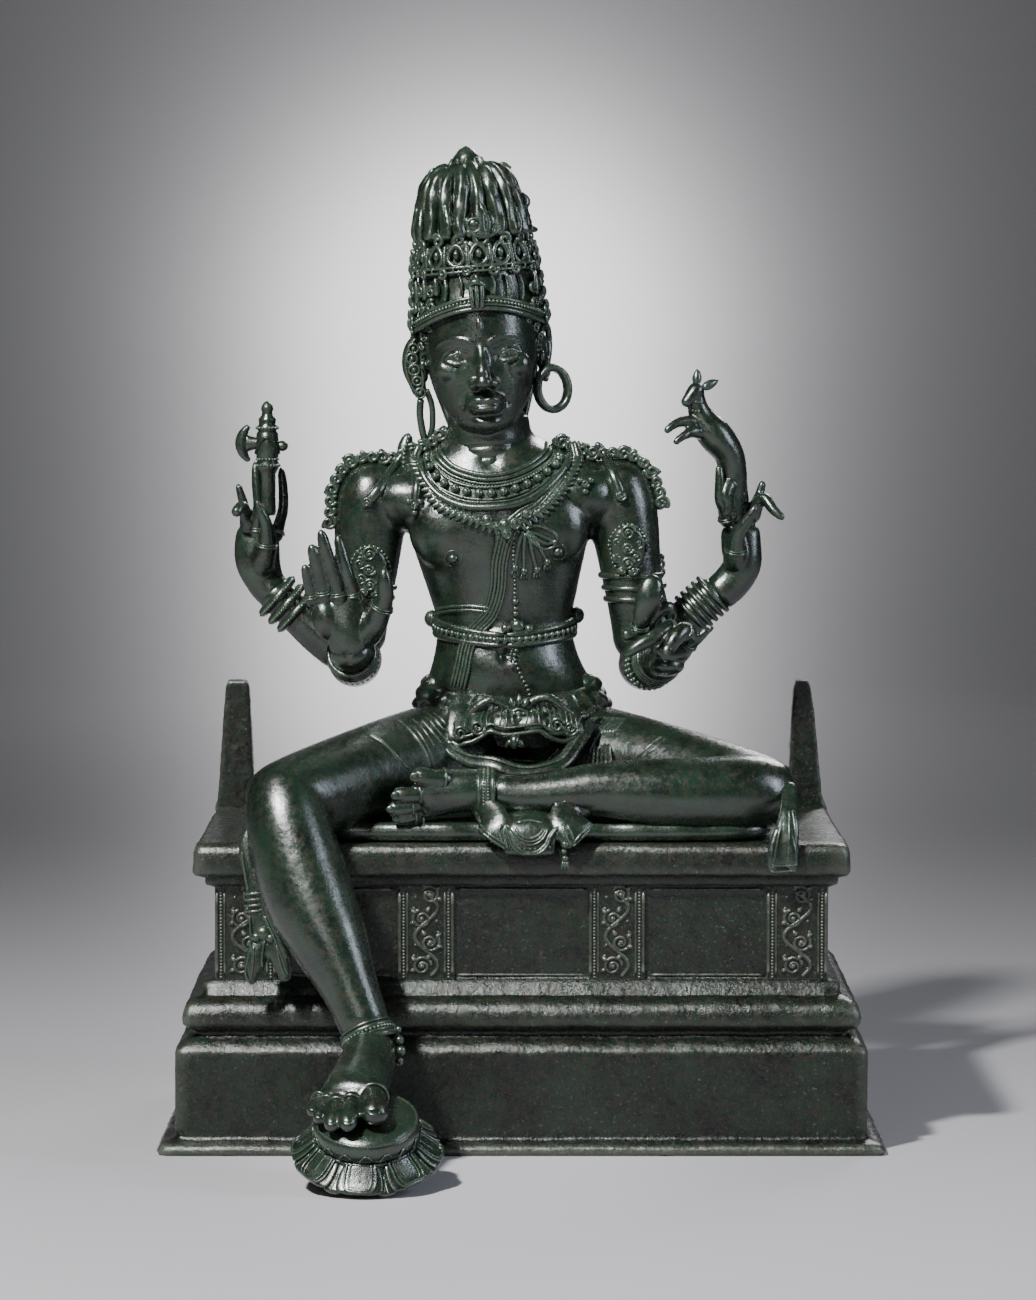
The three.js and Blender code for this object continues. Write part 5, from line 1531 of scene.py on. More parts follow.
limb(cloth, [
    [231, -132, 314, 7, 5], [229, -156, 296, 8, 4.5], [227, -171, 276, 11, 4], [223, -175, 244, 13, 4]
], sides=20, cap=0.06)
for x, z in ((214, 250), (231, 250)):
    limb(cloth, [
        [x * 0.3 + 156, -172, 280, 4, 3], [x, -177, z + 8, 5, 3], [x, -177, z - 11, 4, 2.4]
    ], sides=12, rings=16, cap=0.1)
limb(cloth, [
    [7, -138, 284, 18, 5], [7, -160, 288, 20, 5], [7, -176, 277, 22, 4.5], [7, -181, 255, 23, 3.6]
], sides=30, cap=0.05)
limb(cloth, [
    [-36, -140, 283, 13, 5], [-29, -160, 288, 16, 5], [-21, -174, 278, 14, 4.5], [-15, -178, 262, 3, 3]
], sides=20, rings=24, cap=0.06)
limb(cloth, [
    [46, -140, 284, 17, 5], [44, -162, 288, 21, 5], [41, -175, 276, 14, 4.5], [38, -179, 261, 3, 3]
], sides=20, rings=24, cap=0.06)
cloth_mesh = fused("cloth_forms", cloth, 2.0, 2)
cloth_skin = search_tree(cloth_mesh)
finished("cloth_forms", cloth_mesh)

# %% Rope, clasp and hem
trim = Wax()
for points in (
    [
        (-72, -30, 372), (-63, -48, 361), (-52, -62, 361), (-38, -66, 374), (-27, -66, 379.5), (-14, -66, 375),
        (-9, -68, 368)
    ],
    [(3, -68, 371), (10, -66, 379), (22, -66, 382), (32, -66, 377), (41, -64, 369), (53, -58, 365), (66, -44, 371)]
):
    rope(trim, points, 4.2, strands=3, pitch=14, sides=18, spacing=1.8)
CLASP = (-2, -70, 365)
blob(trim, CLASP, (11, 7, 10), sides=24, rings=14)
ring(trim, circle_points((-2, -75.5, 365), 7.8, 16), 1.5, sides=8, spacing=2)
blob(trim, (-2, -77, 364), (3.4, 3.4, 3.8), sides=12)
for dx in (-4.2, 4.2):
    blob(trim, (-2 + dx, -76.5, 368.6), (2.2, 2, 2.2), sides=12)
for side in (-1, 1):
    curl(trim, (-2 + side * 13, -72, 366), 5.8, 1.9, hand=side, turns=1.6)
    curl(trim, (-2 + side * 11, -74, 357), 5.0, 1.7, hand=-side, start=1.5)
    curl(trim, (-2 + side * 24, -73, 360), 4.8, 1.7, hand=side, start=0.6)
    leaf(trim, (-2 + side * 4, -74, 374), (-2 + side * 8, -72, 383), FRONT, 2.8, 2)
leaf(trim, (-2, -74, 375), (-2, -72, 386), FRONT, 3.2, 2.2)
beads(trim, [(-14, -76, 355), (-2, -79, 352), (10, -76, 355)], 1.9, detail=2)
HEM = [
    (-66, 355, -66), (-61, 345, -72), (-55, 341, -76), (-49, 343, -78), (-42, 345, -79), (-33, 350, -80),
    (-27, 354, -81), (-19, 352, -82), (-11, 351, -83), (2, 352.5, -83), (16, 354, -82), (24, 349, -81),
    (35, 345, -79), (44, 347, -77), (49, 353, -73), (53, 360, -66)
]
hem_line = [(x, y - 1, z) for x, z, y in HEM]
cord(trim, hem_line, 2.2, sides=10)
cord(trim, [(x, y + 1.5, z + 6) for x, y, z in hem_line], 1.3, spacing=2.5)
for k, (x, z, y) in enumerate(LOBES):
    for step in (-6, 0, 6):
        line = [(x * 0.88 + step * 0.6, -50, 374), (x + step * 0.8, y + 6, z + 16), (x + step, y, z + 5)]
        cord(trim, laid(line, 0.4, cloth_skin), 1.0, sides=6, spacing=2.5)
for x, z, hand in ((-53, 352, 1), (43, 356, -1), (-38, 356, -1), (31, 358, 1)):
    place = laid([(x, -78, z)], 1.4, cloth_skin)[0]
    curl(trim, place, 6.6, 1.6, hand=hand, turns=1.8)
limb(trim, [[-4, -82, 352, 3], [-6, -86, 346, 4.6], [-6, -88, 339, 2.6]], sides=14, rings=14)
for dx in (-6, 6):
    leaf(trim, (-6 + dx * 0.3, -86, 347), (-6 + dx * 1.4, -86, 340), FRONT, 3, 2)
for offset in (-6, -3.6, 4.4, 6.8):
    line = [(x, y - 2, z + offset * 0.75) for x, y, z in SASH]
    cord(trim, laid(line, 0.5, cloth_skin), 1.1, sides=6, spacing=2.5)
finished("cloth_trim", trim)

# %% Raised folds on the thighs
folds = Wax()
EYE = Vector((-3, -4252, 729))
PLEATS = (
    np.array([(86, 379), (62, 367), (46, 353), (32, 339), (20, 326)]),
    np.array([(101, 375), (88, 366.5), (78, 355), (73, 342), (73.6, 327)]),
)


def fold(points, plane, radius):
    """A ridge on the thigh, behind points of x and z on an upright plane as the camera sees them."""
    line = []
    for x, z in points:
        place, normal, _, _ = leg_skin.ray_cast(EYE, (Vector((x, plane, z)) - EYE).normalized())
        if place and place.z > SEAT_LEVEL:
            line.append(list(place + normal * 0.1))
    if len(line) > 2:
        cord(folds, line, radius, taper=0.25, flat=0.8)


for j in range(15):
    share = j / 14
    fold(PLEATS[0] * (1 - share) + PLEATS[1] * share, -90, 2.1 if j % 4 == 2 else 1.25)
for points, radius in (
    ([(104, 374), (91, 366), (81, 355), (76, 342), (77, 327)], 2.1),
    ([(144, 363), (122.5, 350), (111, 341), (101, 332)], 1.7),
    ([(147, 361), (126, 348.5), (115, 339), (106, 331)], 1.0), ([(112, 376), (106, 371), (101, 365)], 1.2),
    ([(126, 371), (121, 367), (117, 362)], 1.2), ([(226, 341), (210, 338), (200, 333), (192, 330)], 1.5),
):
    fold(points, -90, radius)
for points, radius in (
    ([(-154, 354), (-134, 349), (-120, 340.5), (-110, 330), (-99, 318)], 2.0),
    ([(-146, 357), (-137, 355.5), (-130, 353)], 1.2),
    ([(-123, 366), (-108, 361.5), (-93.5, 348), (-85.5, 334.6), (-80, 319)], 2.2),
    ([(-119, 368), (-104, 363.5), (-89.5, 350), (-81.5, 336), (-76, 321)], 1.2),
    ([(-112, 369), (-96, 363), (-84, 351), (-76, 338)], 1.2),
    ([(-103, 370), (-88, 362), (-78, 351), (-70, 340)], 2.0),
    ([(-98, 371), (-82, 362), (-72, 351), (-65, 342)], 1.2), ([(-92, 372), (-77, 363), (-67, 352)], 1.7),
    ([(-86, 373), (-72, 364), (-62, 354)], 1.2),
):
    fold(points, -60, radius)

# %% Borders of the fan and the sashes
def border(points, radius):
    """A thread laid on the cloth."""
    cord(folds, laid(points, 0.5, cloth_skin), radius, sides=6)


for wide, low, thick in (
    (13, 273, 1.5), (15.5, 269.5, 1.0), (17.5, 266.5, 1.0), (20.5, 259.5, 1.2), (22, 255.8, 1.4)
):
    turns = [radians(-90 + 180 * k / 8) for k in range(9)]
    border([(7 + wide * sin(t), -190, 288 - (288 - low) * cos(t)) for t in turns], thick)
border([(-5, -180, 287), (7, -178, 289), (19, -180, 287)], 1.4)
for k in range(9):
    x = 7 + (k - 4) * 4.6
    border([(x, -190, 264 + 0.12 * (k - 4) ** 2), (x * 1.03, -190, 261 + 0.12 * (k - 4) ** 2)], 0.9)
for path in (
    [(-46, -170, 283), (-32, -182, 272), (-14, -184, 262)], [(-40, -170, 285), (-28, -182, 275), (-13, -184, 266)],
    [(-12, -182, 286), (-15, -184, 276), (-12, -184, 262)], [(-17, -182, 286), (-20, -184, 277), (-16, -184, 268)],
    [(66, -170, 285), (58, -182, 274), (46, -184, 261)], [(61, -170, 286), (53, -182, 276), (45, -184, 266)],
    [(34, -182, 287), (37, -184, 276), (44, -184, 262)], [(39, -182, 287), (42, -184, 279), (46, -184, 269)],
):
    border(path, 1.2)
for x, z, size in ((37, 266, 3.4), (36, 260, 2.6), (37, 254, 3.2)):
    blob(folds, (x, -182.5, z), (size, 3, size), sides=12)
for dx in (-3, 0, 3):
    leaf(folds, (37 + dx * 0.4, -182.5, 252), (37 + dx, -182, 244), FRONT, 1.8, 1.4, sides=6)
for z in (226, 221, 216, 211):
    turns = np.linspace(0, 5.9, 14)
    line = [(-226 + 9.2 * cos(t), -193.6 + 5.6 * sin(t), z + 0.8 * cos(t)) for t in turns]
    ring(folds, line, 1.3, spacing=2)
for path in (
    [(-240, -196, 262), (-236, -198, 240), (-233, -200, 228)],
    [(-226, -196, 262), (-224, -198, 240), (-221, -200, 228)],
    [(-233, -200, 208), (-232, -204, 186), (-235, -206, 160), (-231, -206, 148)],
    [(-219, -200, 208), (-209, -206, 186), (-198, -206, 156)],
    [(-218, -206, 188), (-219, -208, 172), (-216, -208, 162)],
    [(-228, -206, 184), (-228, -208, 168), (-230, -206, 152)],
    [(-208, -206, 184), (-205, -208, 168), (-200, -206, 153)],
    [(234, -170, 300), (235, -178, 276), (235, -180, 246)], [(224, -170, 296), (219, -178, 272), (214, -180, 244)],
    [(229, -170, 298), (228, -180, 272), (226, -180, 244)], [(212, -180, 243), (222, -182, 240), (235, -180, 243)],
    [(213, -180, 248), (223, -182, 245), (235, -180, 248)],
):
    border(path, 1.15)
for x, z, size in ((-219, 192, 7), (-213, 188, 5), (-225, 189, 5)):
    blob(folds, (x, -201, z), (size, 4, size * 0.9), sides=14)
finished("cloth_folds", folds)

# %% Anklets and toe rings
foot_gold = Wax()
shin_axis = Vector((17, -16, -40))
ankle = Vector((-127.5, -265, 112))
for step, radius, thick in ((-9, 21.5, 1.3), (-5, 22, 2.2), (0, 22.5, 1.4), (4, 23, 2.6)):
    hoop(foot_gold, ankle + shin_axis.normalized() * step, shin_axis, radius, thick, sides=10)
circle = frame_along(ankle + shin_axis.normalized() * -2.4, shin_axis, UP)
beads(foot_gold, round_axis(circle, 23, 6.05, 26), 1.7, closed=True)
for x, z, size in ((-137, 97, 4.8), (-131, 102, 3.6), (-143, 103, 3.6), (-134, 108, 3.2)):
    blob(foot_gold, (x, -291 + 0.3 * (z - 97), z), (size, size, size), sides=14)
for x, z, size in ((-100, 112, 4), (-99, 103, 4.4), (-100, 94, 3.6), (-101, 121, 3)):
    blob(foot_gold, (x - 2, -272, z), (size, size, size), sides=12)
for step in (-24.5, -36.5):
    hoop(foot_gold, (step, -142, 307.5), (1, 0, 0), 18.4, 2.3, sides=12)
hoop(foot_gold, (-30.5, -142, 307.5), (1, 0, 0), 18.0, 5.2, sides=12, flat=0.36)
for step in (-28.6, -32.4):
    turns = np.linspace(0, 6.05, 28)
    line = [(step, -142 + 19.6 * cos(t), 307.5 + 19.6 * sin(t)) for t in turns]
    beads(foot_gold, line, 1.3, closed=True)
for x, z, size in ((-30.5, 291, 4.6), (-37, 290, 3.6), (-24, 290, 3.6)):
    blob(foot_gold, (x, -153, z), (size, size, size * 0.8), sides=14)
for rows_of, radius in ((HANGING_TOES, 1.16), (FOLDED_TOES, 1.14)):
    for k, stations in enumerate(rows_of):
        first, second = Vector(stations[0][:3]), Vector(stations[1][:3])
        place = first.lerp(second, 0.62 if k else 0.5)
        hoop(foot_gold, place, second - first, stations[1][3] * radius, 1.2, sides=6)
finished("foot_jewellery", foot_gold)

# %% [markdown]
# ## The seat plate
#
# The casting stands on a thin plate of its own with a rolled, slightly wavy front edge.

# %% Seat plate
PLATE_MIDDLE = (12, -26)
PLATE_HALF = (208, 126)
PLATE_ROWS = [
    (0, 264.4), (0.3, 264.4), (0.6, 264.4), (0.85, 264.4), (0.95, 264.6), (0.98, 266), (0.995, 269), (1.0, 273),
    (0.993, 277), (0.975, 280), (0.95, 281.3), (0.93, 281.0), (0.915, 280.2), (0.8, 280.6), (0.6, 281), (0.3, 281),
    (0, 281),
]
levels = [(*PLATE_MIDDLE, z, PLATE_HALF[0] * reach, PLATE_HALF[1] * reach) for reach, z in PLATE_ROWS]
plate, plate_corners, plate_sizes = stacked(levels, 260, 7)
x, y, height = plate.T
reach = np.maximum(np.abs(x - PLATE_MIDDLE[0]) / PLATE_HALF[0], np.abs(y - PLATE_MIDDLE[1]) / PLATE_HALF[1])
edge_share = np.clip((reach - 0.9) / 0.1, 0, 1)
ripple = np.sin(x / 15) + 0.6 * np.sin(x / 6.3 + y / 11) + 0.5 * np.sin(y / 8)
plate[:, 2] = height + edge_share * 0.5 * ripple * (height > 270)
plate[:, 1] = y - edge_share * 1.1 * ripple * (y < 0)
seat = Wax()
seat.add(plate, plate_corners, plate_sizes)
finished("seat_plate", seat)

# %% [markdown]
# ## The axe and the antelope
#
# Both stand on the fingertips of the back hands. The axe is a baluster with a thick crescent blade, and the
# antelope leaps away from the hand with its head turned back. Fusing only the animal's body keeps its ears
# crisp.

# %% Axe
axe = Wax()
AXE_LINE = Vector((-227, 42, 536))
axe_outline = [
    (0, 0), (6.5, 1), (7.6, 4), (7.2, 14), (7.2, 38), (9, 41), (10.6, 44), (10.6, 47), (8.8, 50), (10, 53),
    (10.2, 66), (9.6, 74), (8, 76), (9.4, 78), (9.4, 80), (7.2, 82), (7.8, 85), (7.8, 87), (5, 90), (4.6, 93),
    (5.6, 96), (4.8, 99), (2.4, 102), (0, 103),
]
spun(axe, axe_outline, Matrix.Translation(AXE_LINE))
for height, radius in ((45.5, 10.6), (79, 9.4), (51, 9.4)):
    turns = np.linspace(0, 6.0, 20)
    line = [tuple(AXE_LINE + Vector((radius * cos(t), radius * sin(t), height))) for t in turns]
    beads(axe, line, 1.5, closed=True)
for hand in (-1, 1):
    band = []
    for k in range(17):
        t = hand * 2 * pi * k / 16
        place = Vector((10.4 * sin(t), -10.4 * cos(t), 63.5 + 7 * cos(2 * t)))
        band.append(tuple(AXE_LINE + place))
    ring(axe, band[:-1], 1.3, sides=8, spacing=2)
blade = []
for k in range(13):
    t = radians(-64 + 128 * k / 12)
    halves = (1.2 + 4.2 * cos(t) ** 2, 3.2 + 1.6 * cos(t))
    blade.append([-236.5 - 14 * cos(t), 44, 601 + 17.5 * sin(t), *halves])
limb(axe, blade, sides=18, rings=40, facing=FRONT, cap=0.06)
limb(axe, [
    [-228, 44, 601, 6.6, 5], [-238, 44, 601, 5.6, 4.6], [-247, 44, 601, 8.5, 4]
], sides=18, rings=20, facing=FRONT, cap=0.08)
limb(
    axe, [[-218, 44, 599, 4, 4], [-212.5, 44, 598.5, 4.6, 4.4], [-208.5, 44, 598, 2.4, 2.4]], rings=16, facing=FRONT
)
finished("axe", axe)

# %% Antelope
animal = Wax()
limb(animal, [
    [188, 42, 528, 10], [187, 42, 544, 11.5], [189, 43, 558, 12.5], [189, 41, 576, 12.5], [185, 38, 592, 13.5],
    [174, 35, 607, 15.5], [164, 34, 619, 13.5], [158, 32, 631, 9.8], [156, 30, 642, 7.6], [156, 29, 651, 6.8]
], sides=28, rings=50, cap=0.05)
limb(
    animal, [[159, 31, 652, 6.4], [155, 28, 648, 7.4], [149, 24, 641, 5.6], [144, 21, 635, 4.2]], sides=20, rings=24
)
for stations in (
    [[160, 30, 618, 7], [148, 24, 621, 5.4], [139, 19, 620, 4.2], [131, 15, 615, 3.4], [128, 14, 611, 2.8]],
    [[162, 28, 611, 7], [152, 22, 612, 5.4], [145, 14, 609, 4], [139, 11, 605, 3.2], [136, 10, 601, 2.8]],
    [[186, 36, 566, 9], [182, 30, 556, 7], [184, 29, 546, 4.6], [182, 28, 536, 3.6]],
    [[190, 50, 566, 9], [196, 52, 556, 6.6], [196, 54, 546, 4.6], [197, 54, 538, 3.4]],
):
    limb(animal, stations, rings=26, cap=0.1)
finished("antelope", fused("antelope", animal, 1.25, 1))
details = Wax()
leaf(details, (156, 32, 653), (157, 34, 668), FRONT, 4.4, 2.6)
leaf(details, (161, 32, 650), (176, 38, 658), FRONT, 4.4, 2.6)
blob(details, (150.5, 22.6, 648), (1.8, 1.2, 1.3), sides=12)
hoop(details, (156, 30, 637), (0.1, 0.2, 1), 7.2, 1.4)
beads(details, [(150, 24, 632), (156, 22.5, 630), (163, 25, 632)], 1.3)
finished("antelope_details", details)

# %% [markdown]
# ## The lotus
#
# The hanging foot stands on a lotus that leans forward. Its seed head is a turned pad, and each petal of the
# skirt is a leaf of its own with a raised tip and a double border.

# %% Lotus
lotus = Wax()
LOTUS = frame_at((-127, -344, 40), (23.5, 0, 0))
spun(lotus, [
    (0, -13), (38, -12), (48, -9), (49, -5), (44, 0), (41, 4), (43.5, 9), (44, 14), (42.5, 19), (38, 23), (30, 25),
    (0, 26.5)
], LOTUS, steps=72)
PETALS = 8


def on_lotus(reach, turn, height):
    """A point of the lotus in its own frame; turn 0 is the front."""
    t = radians(turn)
    return Vector((reach * sin(t), -reach * cos(t), height))


def leaned(points):
    """Points of the lotus in the figure's frame."""
    return [list(LOTUS @ p) for p in points]


for k in range(2 * PETALS):
    turn = 180 * k / PETALS - 5
    front = k % 2 == 0
    wide = 19.5 if front else 8.5
    lift = 0.0 if front else -2.4
    lengthways = [on_lotus(r, turn, z + lift) for r, z in ((40, 3), (47, -3), (54, -8.5), (59, -11.5), (61.5, -12))]
    halves = (wide * 0.72, wide * 0.9, wide, wide * 0.92, wide * 0.5)
    out = on_lotus(1, turn, 0)
    normal = LOTUS.to_3x3() @ (out * 0.6 + UP * 0.8)
    limb(lotus, [
        [*(LOTUS @ p), w, 2.6 if j < 4 else 1.4] for j, (p, w) in enumerate(zip(lengthways, halves))
    ], facing=normal, sides=20, rings=22, cap=0.06)
    side_way = Vector((cos(radians(turn)), sin(radians(turn)), 0))
    if front:
        for inset, radius in ((0.86, 1.2), (0.62, 0.9)):
            rim = []
            for j in range(11):
                share = (j - 5) / 5
                place = cos(share * pi / 2) ** 0.7
                step = min(3.9, 3.9 * place * (0.72 + 0.28 * inset))
                low = int(min(3, step))
                base = lengthways[low].lerp(lengthways[low + 1], step - low)
                spread = wide * inset * sin(share * pi / 2) * (0.66 + 0.34 * place)
                rim.append(base + side_way * spread + out * 1.3 + UP * 2.3)
            cord(lotus, leaned(rim), radius, spacing=1.8)
        cord(lotus, leaned([p + out * 1.2 + UP * 1.9 for p in lengthways[:3]]), 0.9, sides=6)
    else:
        cord(lotus, leaned([p + out * 1.2 + UP * 2.0 for p in lengthways[1:]]), 1.0, sides=6)
for height, reach in ((3.5, 42.6), (20.5, 41.2)):
    ring(lotus, leaned([on_lotus(reach, t, height) for t in range(0, 360, 12)]), 1.3, sides=8)
for k in range(16):
    turn = 360 * k / 16
    wave = [on_lotus(44.2, turn - 8, 6), on_lotus(44.6, turn, 13), on_lotus(43.6, turn + 8, 8)]
    cord(lotus, leaned(wave), 0.8, sides=6)
finished("lotus", lotus)

# %% [markdown]
# ## The plinth
#
# The plinth is a second casting: a plain block, a rounded course, a frieze with pilasters and a slab. A
# ball's rows are moved out to each course's own rectangle, which keeps the corners crisp and the mesh in
# one piece. Broad shallow unevenness and chipped edges come from noise at the size of a hand and of a
# thumb.

# %% Plinth courses
DEPTH_LESS = 115  # how much less deep than wide a course is, on each side
PLINTH_TOP = 264
INNER = 240  # rows with a smaller reach close the block underneath and on top
BROAD, CHIPS, SMALL, FINE = 70.0, 22.0, 9.0, 3.5  # sizes of the wear in millimetres
COURSES = [
    (310, 0), (312, 4), (308, 9), (298, 12), (297, 15), (297, 86), (296, 89), (288, 97), (282, 99), (281, 103),
    (287, 106), (290.5, 110), (291.5, 115), (290.5, 120), (288.5, 125), (283, 130), (276, 132.5), (274, 134),
    (274, 143), (265, 146), (264, 148), (264, 225), (271, 228), (272, 230), (272, 234), (280, 237), (282, 240),
    (281.5, 256), (280, 261), (276, PLINTH_TOP),
]
DADO_HALF = 264
DADO_FRONT = -(DADO_HALF - DEPTH_LESS)
DADO_BOTTOM = 145
DADO_TOP = 228


def course_rows():
    """The courses with rows in between, so that no face is taller than a few millimetres."""
    rows = [(r, 0) for r in (0, 90, 170, 240, 290)]
    for (r, z), (next_r, next_z) in zip(COURSES, COURSES[1:]):
        steps = max(1, round(hypot(next_r - r, next_z - z) / 6.5))
        rows += [(r + (next_r - r) * k / steps, z + (next_z - z) * k / steps) for k in range(steps)]
    return rows + [COURSES[-1]] + [(r, PLINTH_TOP) for r in (250, 200, 130, 60, 0)]


rows = []
for reach, height in course_rows():
    deep = reach - DEPTH_LESS if reach > INNER else reach * (INNER - DEPTH_LESS) / INNER
    rows.append((0, 0, height, reach, deep))
places, corners, sizes = stacked(rows, 340, 85)
worn = places.copy()
for k, place in enumerate(places):
    if 0.5 < place[2] < PLINTH_TOP - 0.5:
        broad = noise.noise(Vector(place) / BROAD)
        small = noise.noise(Vector(place) / SMALL + Vector((31, 0, 0)))
        fine = noise.noise(Vector(place) / FINE)
        lip = 1.0 if place[2] < 14 or 88 < place[2] < 134 or place[2] > 226 else 0.35
        inward = 1.2 * broad + lip * (0.9 * small + 0.45 * fine)
        side = Vector((place[0] / 300, place[1] / 185, 0))
        across = 0 if abs(side.x) > abs(side.y) else 1
        worn[k, across] += copysign(1, side[across]) * inward
        worn[k, 2] += lip * 0.9 * noise.noise(Vector(place) / CHIPS + Vector((7, 3, 0)))
plinth = Wax()
plinth.add(worn, corners, sizes)


def block(wax, low, high):
    """A box with rounded edges and a flat field inside each face, so that wear stays on the edges."""
    small = bmesh.new()
    middle = [(a + b) / 2 for a, b in zip(low, high)]
    scale = Matrix.Translation(middle) @ Matrix.Diagonal((*[b - a for a, b in zip(low, high)], 1))
    bmesh.ops.create_cube(small, size=1, matrix=scale)
    rounded = {"offset_type": "OFFSET", "affect": "EDGES", "segments": 2, "profile": 0.5, "material": -1}
    bmesh.ops.bevel(small, geom=small.edges[:], offset=1.2, **rounded)
    fields = [f for f in small.faces if f.calc_area() > 100]
    bmesh.ops.inset_individual(small, faces=fields, thickness=1.5, depth=0)
    wax.add(*bmesh_arrays(small))


# %% Pilasters with a scrolling vine
STAND = 3


def pilaster(wax, x, carved=True):
    """A plain block on the back of the dado, or a carved one with its borders and vine on the front."""
    half = 26.5 if abs(x) > 200 else 24.5
    face = DADO_FRONT - STAND
    relief = face - 0.4
    if not carved:
        block(wax, (x - half, -DADO_FRONT - 6, DADO_BOTTOM), (x + half, -face, DADO_TOP))
        return
    block(wax, (x - half, face, DADO_BOTTOM), (x + half, DADO_FRONT + 6, DADO_TOP))
    for side in (-1, 1):
        for inset, radius in ((1.8, 1.5), (8.4, 1.0)):
            edge = x + side * (half - inset)
            cord(wax, [(edge, relief, DADO_BOTTOM + 2), (edge, relief, DADO_TOP - 3)], radius, spacing=8)
        edge = x + side * (half - 5.2)
        beads(wax, [(edge, relief, DADO_BOTTOM + 3), (edge, relief, DADO_TOP - 4)], 1.35)
    tall = DADO_TOP - DADO_BOTTOM
    stem = []
    for share in (k / 30 for k in range(31)):
        sway = (half - 12) * 0.78 * sin(3 * pi * share + 0.3)
        stem.append((x + sway, face - 0.2, DADO_BOTTOM + 3 + share * (tall - 8)))
    cord(wax, stem, 2.0, spacing=2.5)
    for k in range(4):
        share = (k + 0.5) / 3.35
        side = 1 if k % 2 == 0 else -1
        z = DADO_BOTTOM + 2 + share * (tall - 14)
        middle = x - side * 3.5
        place = (middle, relief, z)
        curl(wax, place, 8.4, 1.8, turns=1.7, hand=side, start=0.9 * k)
        blob(wax, place, (2.6, 2.6, 2.6), sides=10, rings=6)
        for dx, dz in ((-side * 8.5, 7), (-side * 10, -4), (side * 6.5, 9)):
            root = (middle + dx * 0.6, face - 0.6, z + dz * 0.6)
            tip = (middle + dx * 1.1, face - 0.2, z + dz * 1.25)
            leaf(wax, root, tip, FRONT, 2.4, 2.2, sides=6)
        for dx, dz in ((side * 9.5, -2), (-side * 11, 9)):
            blob(wax, (x + dx * 0.95, relief, z + dz), (1.5, 1.2, 1.5), sides=8, rings=6)


for x in (-237, -82, 82, 237):
    pilaster(plinth, x)
    pilaster(plinth, x, carved=False)
for x in (-159.5, 0, 159.5):
    reach_x = 50 if x else 57
    for z in (DADO_BOTTOM + 4.5, DADO_TOP - 4.5):
        line = [(x - reach_x, DADO_FRONT, z), (x, DADO_FRONT - 0.3, z), (x + reach_x, DADO_FRONT, z)]
        cord(plinth, line, 1.3, spacing=6)

# %% Posts at the back corners
POSTS = ((
    (261, -281, -243), (265, -281, -243), (270, -279, -245), (350, -273, -248.5), (376, -271, -250),
    (380, -269, -252)
), ((261, 242, 281), (265, 242, 280), (276, 245, 276), (350, 248.4, 269), (372, 250, 266), (380, 252.5, 263.5)),)
POST_Y = 148
for post in POSTS:
    heights = np.linspace(261, 380, 48)
    low = np.interp(heights, [p[0] for p in post], [p[1] for p in post])
    high = np.interp(heights, [p[0] for p in post], [p[2] for p in post])
    levels = [((a + b) / 2, POST_Y, z, (b - a) / 2, 11) for z, a, b in zip(heights, low, high)]
    first, last = levels[0], levels[-1]
    levels = [(*first[:3], 0, 0), (*first[:3], first[3] * 0.6, 7)] + levels
    levels += [
        (*last[:2], 380.6, last[3] - 1.2, 9.6), (*last[:2], 380.8, last[3] * 0.5, 5), (*last[:2], 380.8, 0, 0)
    ]
    shaped, corner_list, size_list = stacked(levels, 56, 14)
    for k, place in enumerate(shaped):
        rough = noise.noise(Vector(place) / 8.0) + 0.6 * noise.noise(Vector(place) / 3.0)
        shaped[k, :2] += 0.5 * rough * np.sign(place[:2] - np.array([(low.mean() + high.mean()) / 2, POST_Y]))
    plinth.add(shaped, corner_list, size_list)
finished("plinth_body", plinth, plinth_bronze, stands_for="plinth")

# %% [markdown]
# ## Camera, light and backdrop
#
# The figure is seen from a little above its middle with a long lens, so its upright edges stay parallel. A
# pale sweep of paper curves up behind it. A small strong key from the upper left gives the long highlights on
# the bronze, a weak light fills the front, one from the right draws the far edge, one from behind lifts the
# outline, and a last one falls on the paper behind the head.

# %% Camera
CAMERA = Vector((-0.003, -4.252, 0.729))
LOOKING_DOWN = 4.17  # degrees
FOCAL_LENGTH, LONG_SIDE = 4803, 1300  # in the photograph's pixels
SENSOR = 36
camera_data = bpy.data.cameras.new("camera")
camera_data.sensor_width = SENSOR
camera_data.lens = FOCAL_LENGTH / LONG_SIDE * SENSOR
camera_data.clip_start = 0.1
camera_data.clip_end = 50
camera = bpy.data.objects.new("camera", camera_data)
camera.location = CAMERA
camera.rotation_euler = (radians(90 - LOOKING_DOWN), 0, 0)
bpy.context.scene.collection.objects.link(camera)
bpy.context.scene.camera = camera
print("lens", round(camera_data.lens, 1), "mm")
